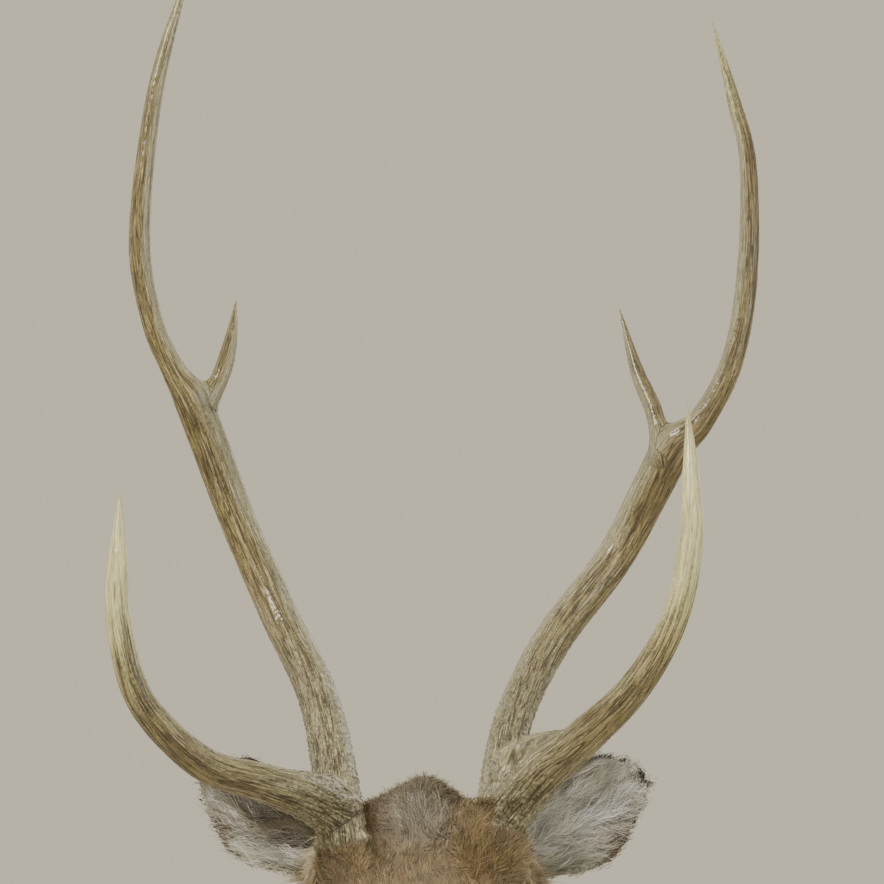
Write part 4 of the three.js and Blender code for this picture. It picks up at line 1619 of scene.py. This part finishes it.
    def build(self) -> Piece:
        """Makes the whole hide.

        Returns:
            The hide piece.
        """
        self.piece = self.block()
        self.shape()
        self.join_ears()
        mesh = self.piece.data
        mesh.name = "hide"
        graph = bpy.context.evaluated_depsgraph_get()
        self.marks.find_spots(BVHTree.FromObject(self.piece, graph))
        self.dress()
        mesh.polygons.foreach_set("use_smooth", [True] * len(mesh.polygons))
        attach(self.piece, BODY)
        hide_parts(*self.NODES, "ear_right", "ear_left")
        return self.piece


# ---- Coat ----
class Lie(Enum):
    """Which way hair lies over the skin."""

    SLEEK = "back along the body"
    CREST = "up over the poll, matted"
    WHORL = "up and over to the animal's left"
    STUB = "up the foot of an antler"
    FAN = "from an ear's root out to its edge"
    SKIRT = "down from an ear's root"
    LASH = "out over an eye"
    WHISKER = "out from the lips"


class Ground:
    """Places on the skin where hair could grow, with all that the areas ask about them."""

    def __init__(self, hide: Hide) -> None:
        """Measures every triangle of the hide.

        Args:
            hide: The finished hide.
        """
        mesh = hide.piece.data
        mesh.calc_loop_triangles()
        corners = np.empty(len(mesh.loop_triangles) * 3, dtype=np.int64)
        mesh.loop_triangles.foreach_get("vertices", corners)
        places = coords(mesh)
        self.corners = places[corners.reshape(-1, 3)]
        cross = np.cross(self.corners[:, 1] - self.corners[:, 0], self.corners[:, 2] - self.corners[:, 0])
        self.area = np.linalg.norm(cross, axis=1) / 2
        self.facing = unit(cross)
        self.middle = self.corners.mean(axis=1)
        self.back, self.up, self.across = HEAD.local(self.middle)
        self.along, self.angle, self.heading = AXIS.read(self.middle)
        self.ear = hide.ear_faces(self.middle, self.facing)
        self.body = (self.ear < 0.5) * 1.0
        self.wide = np.abs(self.across)
        self.high = self.middle[:, 2]
        self.turn = np.abs(self.angle)
        self.open = self.off_eyes() * self.off_nose()
        self.stub = self.near_antlers()

    def off_eyes(self) -> Array:
        """Gives 0 on the lids' rims and inside the sockets, and 1 elsewhere."""
        clear = np.ones(len(self.middle))
        for eye in EYES:
            forward, rise, out, share = eye.read(self.middle)
            clear[(share < 1.32) & (out > -0.01) & (np.hypot(forward, rise) < 0.03)] = 0.0
        return clear

    def off_nose(self) -> Array:
        """Gives 0 on the bare nose pad and 1 elsewhere."""
        bare = (self.back + 0.35 * np.maximum(0, self.up + 0.004) < 0.0165) & (self.up > -0.043)
        return np.where(bare, 0.0, 1.0)

    def near_antlers(self) -> Array:
        """Gives 1 on the stubs under the burrs, easing to 0 on the skull round them."""
        gap = np.full(len(self.middle), 1.0)
        for antler in ANTLERS:
            stub = antler.pedicle()
            gap = np.minimum(gap, stub.nearest(self.middle)[1])
        return ramp(0.034, 0.026, gap)


def even(ground: Ground) -> Array:
    """Gives 1 everywhere."""
    return np.ones(len(ground.area))


def on_head(ground: Ground) -> Array:
    """Gives the share of head hair, which thins out into the neck's."""
    return ramp(0.305, 0.262, ground.along) * ground.body


def on_crown(ground: Ground) -> Array:
    """Gives the density of the matted crest between and around the antlers."""
    near = bell(ground.across, 0.058) * bell(ground.middle[:, 1] + 0.298, 0.045)
    return near * ramp(0.474, 0.490, ground.high) * ground.body * (1 - 0.6 * ground.stub)


def crest_size(ground: Ground) -> Array:
    """Makes the crest's hair shorter towards its top, where it lies flat."""
    return 0.75 - 0.25 * ramp(0.508, 0.530, ground.high)


def on_face(ground: Ground) -> Array:
    """Gives the density of the short hair of the face."""
    return on_head(ground) * ramp(0.205, 0.180, ground.back) * ground.open


def on_brow(ground: Ground) -> Array:
    """Gives the density of the hair of the brow, cheeks and jaw."""
    return on_head(ground) * ramp(0.175, 0.2, ground.back) * ground.open * (1 - 0.7 * on_crown(ground))


def brow_size(ground: Ground) -> Array:
    """Makes the brow's hair short by the eyes and longer towards the crest and the neck."""
    return 0.62 + 0.5 * ramp(0.2, 0.27, ground.back)


def on_stubs(ground: Ground) -> Array:
    """Gives the density of the hair that climbs the foot of each antler."""
    return ground.stub * ground.body


def stub_size(ground: Ground) -> Array:
    """Makes the hair longer before the left antler's foot and on both sides of the right one's."""
    before_left = bell(ground.across - 0.038, 0.018) * ramp(-0.30, -0.33, ground.middle[:, 1])
    beside_right = ramp(0.007, 0.016, np.abs(ground.across + 0.055)) * (ground.across < 0)
    return 1.0 + 0.8 * before_left + 0.8 * beside_right


def on_whorl(ground: Ground) -> Array:
    """Gives the density of the long wavy hair before the left antler."""
    near = bell(ground.across - 0.040, 0.020) * bell(ground.high - 0.496, 0.015)
    return near * (ground.facing[:, 1] < 0.2) * (ground.middle[:, 1] < -0.325) * ground.body


def on_neck(low: float, high: float) -> Callable[[Ground], Array]:
    """Picks the neck between two angles round from the back line."""

    def density(ground: Ground) -> Array:
        """Gives the density there, thinning out into the head's hair."""
        inside = (ground.along < 0.5) & (ground.turn >= low) & (ground.turn < high)
        return ramp(0.255, 0.295, ground.along) * inside * ground.body

    return density


def neck_size(ground: Ground) -> Array:
    """Makes the neck's hair grow longer away from the head."""
    return 0.42 + 0.58 * ramp(0.26, 0.40, ground.along)


def on_shoulder(low: float, high: float) -> Callable[[Ground], Array]:
    """Picks the shoulders between two angles round from the back line."""

    def density(ground: Ground) -> Array:
        """Gives the density there, leaving out the flat face on the board."""
        flat_back = (ground.facing[:, 1] > 0.9) & (ground.middle[:, 1] > -0.03)
        return (ground.along >= 0.49) * (ground.turn >= low) * (ground.turn < high) * (~flat_back)

    return density


def shoulder_size(ground: Ground) -> Array:
    """Makes the shoulders' hair start at the neck's length and end short at the board."""
    return 1.0 + 0.2 * ramp(0.58, 0.49, ground.along) - 0.1 * ramp(-0.05, -0.015, ground.middle[:, 1])


def in_ears(ground: Ground) -> Array:
    """Gives the density of the long pale hair inside the ears, thin over the middle of the right one so that
    its painted shadow shows through.
    """
    share = (ground.ear > 1.5) * 1.0
    for ear in (Ear(side) for side in Side):
        _, across = ear.read(ground.middle)
        mine = ground.across * ear.side.value > 0
        if ear.side is Side.RIGHT:
            share[mine] *= (0.12 + 0.88 * ramp(-0.3, -0.7, across))[mine]
    return share


def behind_ears(ground: Ground) -> Array:
    """Gives the density of the short hair on the backs of the ears."""
    return (ground.ear > 0.5) * (ground.ear < 1.5)


def round_ears(ground: Ground) -> Array:
    """Gives the density of the long soft hair at the roots of the ears."""
    near = bell(ground.wide - 0.060, 0.014) * bell(ground.middle[:, 1] + 0.292, 0.022)
    return near * bell(ground.high - 0.474, 0.017) * (ground.along < 0.34)


def on_upper_lids(ground: Ground) -> Array:
    """Gives the density of the lashes."""
    found = np.zeros(len(ground.area))
    for eye in EYES:
        forward, rise, out, share = eye.read(ground.middle)
        found += (share > 1.15) * (share < 1.4) * (rise > 0.004) * (out > 0) * (np.abs(forward) < 0.015)
    return found


def on_lips(ground: Ground) -> Array:
    """Gives the density of the whiskers round the mouth."""
    near = bell(ground.back - 0.03, 0.02) * ramp(-0.018, -0.03, ground.up) * (ground.wide > 0.008)
    return near * (ground.along < 0.15) * ground.open


@dataclass(frozen=True)
class Growth:
    """One area of hair: how much of it there is and how it grows.

    Attributes:
        name: The piece's name.
        locks: How many locks there are.
        strands: How many blades a lock has.
        length: A blade's mean length.
        width: Its width at the root.
        lift: How far it stands off the skin, as the slope at the root.
        where: Each place's share of the full density.
        seed: The start of the random draws.
        lie: Which way the hair lies.
        bends: How many lengths a blade is made of, 2 or 3.
        gather: How far a lock closes up towards its tip.
        swirl: How far whole patches turn from the lie.
        scatter: How far single locks do.
        wave: How far blades wave from side to side, in shares of their length.
        sweep: Where tips bend over to, in shares of the length.
        size: Each place's share of the full length.
        vary: How far apart the pale and the dark locks are.
    """

    name: str
    locks: int
    strands: int
    length: float
    width: float
    lift: float
    where: Callable[[Ground], Array]
    seed: int
    lie: Lie = Lie.SLEEK
    bends: int = 2
    gather: float = 0.6
    swirl: float = 0.16
    scatter: float = 0.1
    wave: float = 0.0
    sweep: tuple[float, float, float] = (0.0, 0.0, 0.0)
    size: Callable[[Ground], Array] = even
    vary: float = 1.0


GROWTHS = (
    Growth("hair_face", 11000, 5, 0.0056, 0.00048, 0.22, on_face, 11),
    Growth("hair_brow", 9000, 5, 0.0125, 0.00058, 0.26, on_brow, 12, swirl=0.24, size=brow_size, vary=1.5),
    Growth("hair_crown", 4000, 8, 0.022, 0.00066, 0.10, on_crown, 13, Lie.CREST, 3, 0.9, 1.7, 0.22, 0.12,
           size=crest_size, vary=1.7),
    Growth("hair_whorl", 760, 9, 0.017, 0.00055, 0.30, on_whorl, 22, Lie.WHORL, 3, 0.85, 0.5, 0.12, 0.06,
           (0.22, 0.0, -0.30), vary=1.9),
    Growth("hair_stub", 1900, 7, 0.0100, 0.0005, 0.20, on_stubs, 23, Lie.STUB, 2, 0.6, 0.35, 0.16,
           size=stub_size, vary=1.6),
    Growth("hair_neck_back", 8400, 6, 0.024, 0.0009, 0.24, on_neck(0.0, 1.63), 14, size=neck_size),
    Growth("hair_neck_front", 8200, 6, 0.024, 0.0009, 0.24, on_neck(1.63, 3.2), 15, size=neck_size),
    Growth("hair_shoulder_top", 8000, 6, 0.019, 0.0011, 0.2, on_shoulder(0.0, 1.12), 16,
           size=shoulder_size),
    Growth("hair_shoulder_side", 8600, 6, 0.019, 0.0011, 0.2, on_shoulder(1.12, 2.02), 17,
           size=shoulder_size),
    Growth("hair_shoulder_breast", 8000, 6, 0.020, 0.0011, 0.22, on_shoulder(2.02, 3.2), 18,
           size=shoulder_size),
    Growth("hair_ear_inner", 1300, 16, 0.031, 0.00044, 0.22, in_ears, 19, Lie.FAN, 3, 0.97, 0.8, 0.2, 0.10,
           vary=1.65),
    Growth("hair_ear_back", 6000, 5, 0.0036, 0.00048, 0.08, behind_ears, 20, Lie.FAN),
    Growth("hair_ear_root", 1300, 8, 0.024, 0.0006, 0.36, round_ears, 21, Lie.SKIRT, 3, 0.8, 0.4, 0.2, 0.05),
    Growth("hair_lashes", 110, 1, 0.0085, 0.00028, 0.9, on_upper_lids, 24, Lie.LASH, 3, 0.0, 0.0, 0.12),
    Growth("hair_whiskers", 150, 1, 0.020, 0.00022, 0.9, on_lips, 25, Lie.WHISKER, 3, 0.0, 0.1, 0.25,
           sweep=(0.0, 0.0, -0.18)),
)


class Coat:
    """Hair as thin tapering blades in locks, one mesh for each area of growth."""

    PATCH = 0.003
    SINK = 0.0006
    SHARES = {2: (0.0, 0.5, 1.0), 3: (0.0, 0.36, 0.72, 1.0)}
    SETTLE = 0.42
    EDGE = 0.93
    EDGE_STEPS = 14
    EAR_CLEAR = 0.0008
    SHORTEST = 0.0014

    def __init__(self, hide: Hide) -> None:
        """Prepares the ground that hair grows on.

        Args:
            hide: The finished hide.
        """
        self.hide = hide
        self.ground = Ground(hide)
        self.material = CoatFinish().build()

    def roots(self, growth: Growth, rng: np.random.Generator) -> tuple[Array, Array]:
        """Scatters the middles of an area's locks over its ground.

        Args:
            growth: The area.
            rng: The area's random draws.

        Returns:
            The triangle each lock grows on, and its place.
        """
        weight = self.ground.area * np.asarray(growth.where(self.ground), dtype=float)
        pick = rng.choice(len(weight), size=growth.locks, p=weight / weight.sum())
        share = rng.random((growth.locks, 2))
        fold = share.sum(axis=1) > 1
        share[fold] = 1 - share[fold]
        first, second, third = (self.ground.corners[pick, corner] for corner in range(3))
        return pick, first + share[:, :1] * (second - first) + share[:, 1:] * (third - first)

    def aim(self, growth: Growth, pick: Array, place: Array) -> Array:
        """Gives the way an area's hair would lie if the skin were flat and the hair combed.

        Args:
            growth: The area.
            pick: The triangles the locks grow on.
            place: The locks' places.

        Returns:
            Directions in the scene, not yet along the skin.
        """
        heading = self.ground.heading[pick].copy()
        trunk = ramp(0.42, 0.6, self.ground.along[pick])[:, None]
        if growth.lie is Lie.SLEEK:
            heading += trunk * np.array([0.0, 0.1, -0.75])
        elif growth.lie is Lie.CREST:
            heading = place * np.array([22.0, 0.0, 0.0]) + np.array([0.0, 0.4, 0.6])
        elif growth.lie is Lie.WHORL:
            heading = np.tile([0.35, 0.2, 0.9], (len(place), 1))
        elif growth.lie is Lie.STUB:
            for antler in ANTLERS:
                rod = antler.pedicle()
                mine = antler.side.holds(place)
                heading[mine] = rod.heading[rod.nearest(place[mine])[0]]
        elif growth.lie is Lie.WHISKER:
            heading = np.sign(place) * np.array([0.7, 0.0, 0.0]) + np.array([0.0, -0.1, -0.5])
        elif growth.lie is Lie.LASH:
            for eye in EYES:
                forward, rise, out = (np.array(axis) for axis in eye.axes())
                mine = eye.side.holds(place)
                heading[mine] = 0.9 * out + 0.5 * rise - 0.2 * forward
        else:
            for ear in self.hide.ears:
                _, axis, _, upper = ear.axes()
                mine = ear.side.holds(place)
                _, across = ear.read(place[mine])
                heading[mine] = unit(axis[None, :]) + (across * 0.6)[:, None] * upper
            if growth.lie is Lie.SKIRT:
                heading += np.array([0.0, -0.35, -0.95])
        return heading

    def comb(self, growth: Growth, pick: Array, place: Array, rng: np.random.Generator) -> Array:
        """Gives the way each lock lies along the skin.

        Args:
            growth: The area.
            pick: The triangles the locks grow on.
            place: The locks' places.
            rng: The area's random draws.

        Returns:
            Unit directions along the skin.
        """
        facing = self.ground.facing[pick]
        heading = self.aim(growth, pick, place)
        flow = unit(heading - np.sum(heading * facing, axis=1)[:, None] * facing)
        turn = growth.swirl * cloud(place, 30.0) + rng.normal(0, growth.scatter, len(place))
        side = np.cross(facing, flow)
        return unit(np.cos(turn)[:, None] * flow + np.sin(turn)[:, None] * side)

    def room(self, place: Array, flow: Array, length: Array) -> Array:
        """Shortens ear hair so that it ends at the edge of its ear.

        Args:
            place: The locks' places.
            flow: The way they lie.
            length: Their lengths.

        Returns:
            Their new lengths.
        """
        kept = length.copy()
        for ear in self.hide.ears:
            inside = ear.side.holds(place)
            for step in range(1, self.EDGE_STEPS + 1):
                reach = length * step / self.EDGE_STEPS
                along, across = ear.read(place + flow * reach[:, None])
                past = inside & ((np.abs(across) > self.EDGE) | (along > self.EDGE))
                kept[past] = reach[past]
                inside &= ~past
        return np.maximum(kept, self.SHORTEST)

    def over_ears(self, row: Array) -> Array:
        """Lifts the hair inside the ears so that it lies before their inner faces.

        Args:
            row: One point of every blade.

        Returns:
            The points, none behind the ear it grows in.
        """
        lifted = row.copy()
        for ear in self.hide.ears:
            mine = ear.side.holds(row)
            along, across = ear.read(row[mine])
            face = ear.surface(np.clip(along, 0.0, 1.0), np.clip(across, -1.0, 1.0))
            opens = ear.axes()[2]
            behind = self.EAR_CLEAR - (row[mine] - face) @ opens
            lifted[mine] += np.maximum(behind, 0.0)[:, None] * opens
        return lifted

    def grow(self, growth: Growth) -> Piece:
        """Grows one area of hair.

        Args:
            growth: The area.

        Returns:
            The hair piece.
        """
        rng = np.random.default_rng(growth.seed)
        pick, place = self.roots(growth, rng)
        facing = self.ground.facing[pick]
        flow = self.comb(growth, pick, place, rng)
        length = growth.length * rng.uniform(0.72, 1.2, growth.locks) * growth.size(self.ground)[pick]
        if growth.lie is Lie.FAN:
            length = self.room(place, flow, length)
        lock = np.repeat(np.arange(growth.locks), growth.strands)
        total = len(lock)
        side = np.cross(facing, flow)
        shift = rng.normal(0, growth.width * 1.7 * math.sqrt(growth.strands), (total, 2))
        root = place[lock] + shift[:, :1] * side[lock] + shift[:, 1:] * flow[lock] - self.SINK * facing[lock]
        reach = length[lock] * rng.uniform(0.75, 1.1, total)
        lift = growth.lift * rng.uniform(0.6, 1.4, growth.locks)[lock] * rng.uniform(0.8, 1.2, total)
        turn = rng.normal(0, 0.13, total)
        curl = rng.normal(0, 0.08 + growth.scatter * 0.5, growth.locks)[lock] + rng.normal(0, 0.06, total)
        phase = rng.uniform(0, 2 * math.pi, growth.locks)[lock]
        gather = -growth.gather * shift[:, :1] * side[lock]
        sweep = np.array(growth.sweep)
        rows = []
        for share in self.SHARES[growth.bends]:
            wave = growth.wave * (np.sin(phase + 7.0 * share) - np.sin(phase))
            rise = lift * (share - self.SETTLE * share**2)
            aside = share * np.sin(turn) + curl * share**2 + wave
            ahead = (share * np.cos(turn))[:, None] * flow[lock] + aside[:, None] * side[lock]
            bent = ahead + rise[:, None] * facing[lock] + share**2 * sweep
            row = root + reach[:, None] * bent + gather * share
            rows.append(self.over_ears(row) if growth.where is in_ears and share > 0 else row)
        roll = rng.normal(0, 0.35, total)
        broad = unit(side[lock] * np.cos(roll)[:, None] + facing[lock] * np.sin(roll)[:, None])
        broad *= (growth.width * rng.uniform(0.7, 1.3, total) / 2)[:, None]
        mesh = self.blades(growth, rows, broad)
        self.unwrap(mesh, root, growth.bends)
        corners = 2 * growth.bends + 1
        tint = np.clip(rng.beta(2.0, 2.6, growth.locks)[lock] + rng.normal(0, 0.12, total), 0, 1)
        tint = 1 - (1 - tint) * growth.vary
        colours(mesh, "marking", np.repeat(self.marking(growth, root), corners, axis=0))
        floats(mesh, "tip", np.tile(np.append(np.repeat(self.SHARES[growth.bends][:-1], 2), 1.0), total))
        floats(mesh, "tint", np.repeat(tint, corners))
        mesh.materials.append(self.material)
        piece = piece_from(growth.name, mesh)
        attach(piece, BODY)
        return piece

    def blades(self, growth: Growth, rows: list[Array], broad: Array) -> Mesh:
        """Joins an area's blades into one mesh.

        Args:
            growth: The area.
            rows: The middle of every blade, at each share of the length.
            broad: Half of each blade's width at its root, as a direction.

        Returns:
            The mesh, with a blade's corners one after another.
        """
        total = len(broad)
        steps = growth.bends
        corners = 2 * steps + 1
        points = np.empty((total, corners, 3))
        for step, share in enumerate(self.SHARES[steps][:-1]):
            half = (1 - 0.55 * share) * broad
            points[:, 2 * step] = rows[step] - half
            points[:, 2 * step + 1] = rows[step] + half
        points[:, -1] = rows[-1]
        start = (np.arange(total) * corners)[:, None]
        quads = [start + np.array([0, 1, 3, 2]) + 2 * step for step in range(steps - 1)]
        point = start + np.array([2 * steps - 2, 2 * steps - 1, 2 * steps])
        loops = np.concatenate([*quads, point], axis=1)
        sizes = np.tile([4] * (steps - 1) + [3], total)
        mesh = bpy.data.meshes.new(growth.name)
        mesh.vertices.add(total * corners)
        mesh.vertices.foreach_set("co", points.ravel())
        mesh.loops.add(loops.size)
        mesh.loops.foreach_set("vertex_index", loops.ravel().astype(np.int32))
        mesh.polygons.add(len(sizes))
        starts = np.concatenate([[0], np.cumsum(sizes)[:-1]])
        mesh.polygons.foreach_set("loop_start", starts.astype(np.int32))
        mesh.polygons.foreach_set("loop_total", sizes.astype(np.int32))
        mesh.update(calc_edges=True)
        return mesh

    def marking(self, growth: Growth, root: Array) -> Array:
        """Gives each blade the colour of the skin at its root.

        Args:
            growth: The area.
            root: The blades' roots.

        Returns:
            Linear colours, one row for each blade.
        """
        marks = self.hide.marks
        kind = np.full(len(root), {"hair_ear_inner": 2.0, "hair_ear_back": 1.0}.get(growth.name, 0.0))
        shade = marks.read(root, kind)
        if growth.name == "hair_ear_inner":
            shade = np.tile(marks.ear_hair, (len(root), 1)) * (1.0 + 0.25 * cloud(root, 90.0)[:, None])
            # The hair in the upper half of the right ear takes the painted shadow too.
            shade = blend(shade, marks.painted_ear_shadow, self.hide.right_ear_painted_shadow(root) * 0.85)
        rim, patch = self.hide.ear_edges(root)
        if growth.lie is Lie.FAN:
            shade = blend(shade, marks.black, rim)
            shade = blend(shade, marks.dark_fawn, patch * (kind > 1.5))
        if growth.lie is Lie.SKIRT:
            shade = blend(shade, marks.cream, np.full(len(root), 0.85))
        if growth.lie in (Lie.LASH, Lie.WHISKER):
            shade = np.tile(marks.black, (len(root), 1))
        return np.clip(shade, 0.0, 1.0)

    def unwrap(self, mesh: Mesh, root: Array, steps: int) -> None:
        """Lays each blade as a small patch at its root's place on an unwrap of the skin.

        Args:
            mesh: The area's mesh, with a blade's corners one after another.
            root: The blades' roots.
            steps: How many lengths a blade has.
        """
        along, angle, _ = AXIS.read(root)
        middle = np.stack([0.5 + 0.98 * angle / (2 * math.pi),
                           0.01 + 0.98 * along / AXIS.length], axis=1)
        corner = [(side, step / steps - 0.5) for step in range(steps) for side in (-0.5, 0.5)]
        corner = np.array([*corner, (0.0, 0.5)])
        spots = np.clip(middle[:, None, :] + corner[None, :, :] * self.PATCH, 0.0, 1.0).reshape(-1, 2)
        loops = np.empty(len(mesh.loops), dtype=np.int32)
        mesh.loops.foreach_get("vertex_index", loops)
        layer = mesh.uv_layers.new(name="OFBake")
        layer.data.foreach_set("uv", spots[loops].ravel())

    def build(self) -> list[Piece]:
        """Grows every area."""
        return [self.grow(growth) for growth in GROWTHS]


# ---- Board and hanger ----
@dataclass(frozen=True)
class Backboard:
    """The plywood board behind the hide, with its saw-tooth hanger let into the back."""

    bevel: float = 0.0012
    nail_radius: float = 0.0022
    nail_inset: float = 0.005

    def build(self) -> list[Piece]:
        """Dresses the board and the hanger and drives the hanger's two nails.

        Returns:
            The new pieces.
        """
        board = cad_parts["board"]
        form = bmesh.new()
        form.from_mesh(board.data)
        bmesh.ops.remove_doubles(form, verts=form.verts, dist=1e-6)
        bmesh.ops.dissolve_limit(form, angle_limit=math.radians(2), verts=form.verts, edges=form.edges)
        rims = [edge for edge in form.edges if edge.calc_face_angle(0.0) > math.radians(60)]
        bmesh.ops.bevel(form, geom=rims, offset=self.bevel, segments=2, profile=0.5, affect="EDGES",
                        material=-1)
        bmesh.ops.triangulate(form, faces=[face for face in form.faces if len(face.verts) > 4])
        mesh = mesh_from(form, "backboard")
        floats(mesh, "edge", (np.abs(normals(mesh)[:, 1]) < 0.9).astype(float))
        mesh.materials.append(PlywoodFinish().build())
        piece = piece_from("backboard", mesh, smooth=False)
        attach(piece, BODY)
        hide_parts("board")
        plate = PlateFinish().build()
        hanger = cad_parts["hanger"]
        hanger.data.materials.clear()
        hanger.data.materials.append(plate)
        return [piece, self.nails(plate)]

    def nails(self, plate: Material) -> Piece:
        """Drives a round-headed nail through each end of the hanger.

        Args:
            plate: The nails' finish.

        Returns:
            The nails.
        """
        low, high = (Vector(corner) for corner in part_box("hanger"))
        form = bmesh.new()
        for x in (low.x + self.nail_inset, high.x - self.nail_inset):
            flat = Matrix.Diagonal((1.0, 0.45, 1.0, 1.0))
            place = Matrix.Translation((x, high.y, (low.z + high.z) / 2 + 0.002))
            bmesh.ops.create_uvsphere(form, u_segments=20, v_segments=12, radius=self.nail_radius,
                                      matrix=place @ flat)
        mesh = mesh_from(form, "hanger_nails")
        mesh.materials.append(plate)
        piece = piece_from("hanger_nails", mesh)
        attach(piece, BODY)
        return piece


# ---- Stage ----
@dataclass(frozen=True)
class Studio:
    """The camera below the mount, a pale floor, soft lamps and a pale surround."""

    camera_at: tuple[float, float, float] = (0.0136, -2.7347, 0.1842)
    look_up: float = math.radians(14.0)
    lens: float = 139.64
    floor_z: float = -1.62
    floor_size: float = 60.0
    surround: Colour = srgb(219, 211, 186)

    def camera(self) -> None:
        """Sets the camera below the head, looking up past the forehead at the antlers."""
        data = bpy.data.cameras.new("camera")
        data.sensor_width = 36.0
        data.lens = self.lens
        camera = bpy.data.objects.new("camera", data)
        camera.location = self.camera_at
        camera.rotation_euler = (math.pi / 2 + self.look_up, 0.0, 0.0)
        bpy.context.scene.collection.objects.link(camera)
        bpy.context.scene.camera = camera

    def lamp(self, name: str, place: Vector, aim: Vector, size: float, power: float, colour: Colour) -> None:
        """Hangs one soft square lamp.

        Args:
            name: The lamp's name.
            place: Where it hangs.
            aim: What it points at.
            size: Its width.
            power: Its power in watts.
            colour: Its colour.
        """
        data = bpy.data.lights.new(name, "AREA")
        data.size = size
        data.energy = power
        data.color = colour
        lamp = bpy.data.objects.new(name, data)
        lamp.location = place
        lamp.rotation_euler = (aim - place).to_track_quat("-Z", "Y").to_euler()
        bpy.context.scene.collection.objects.link(lamp)

    def build(self) -> None:
        """Makes the whole stage."""
        self.camera()
        form = bmesh.new()
        bmesh.ops.create_grid(form, x_segments=1, y_segments=1, size=self.floor_size / 2)
        bmesh.ops.translate(form, vec=(0, 0, self.floor_z), verts=form.verts)
        floor = piece_from("floor", mesh_from(form, "floor"), smooth=False)
        floor.data.materials.append(FloorFinish().build())
        world = bpy.data.worlds.new("surround")
        world.use_nodes = True
        glow = world.node_tree.nodes["Background"].inputs
        glow["Color"].default_value = (*self.surround, 1.0)
        glow["Strength"].default_value = 0.95
        bpy.context.scene.world = world
        aim = Vector((0.0, -0.25, 0.55))
        self.lamp("key", Vector((-1.5, -2.4, 2.6)), aim, 0.9, 90.0, (1.0, 0.95, 0.86))
        self.lamp("fill", Vector((2.4, -2.0, 1.0)), aim, 1.6, 22.0, (0.92, 0.95, 1.0))
        self.lamp("back", Vector((1.4, 2.6, 2.2)), aim, 1.6, 10.0, (1.0, 0.98, 0.95))


def main() -> None:
    """Builds every piece in order and reports each one."""
    logging.basicConfig(level=logging.INFO, format="%(name)s: %(message)s")
    Studio().build()
    LOG.info("stage ready")
    marks = Markings()
    hide = Hide(marks)
    piece = hide.build()
    LOG.info("hide: %d faces", len(piece.data.polygons))
    for eye in hide.eyes:
        LOG.info("eye: %s", eye.build().name)
    for antler in ANTLERS:
        piece = antler.build()
        LOG.info("%s: %d faces", piece.name, len(piece.data.polygons))
    for piece in Coat(hide).build():
        LOG.info("%s: %d faces", piece.name, len(piece.data.polygons))
    for piece in Backboard().build():
        LOG.info("%s: %d faces", piece.name, len(piece.data.polygons))


if __name__ == "__main__":
    main()
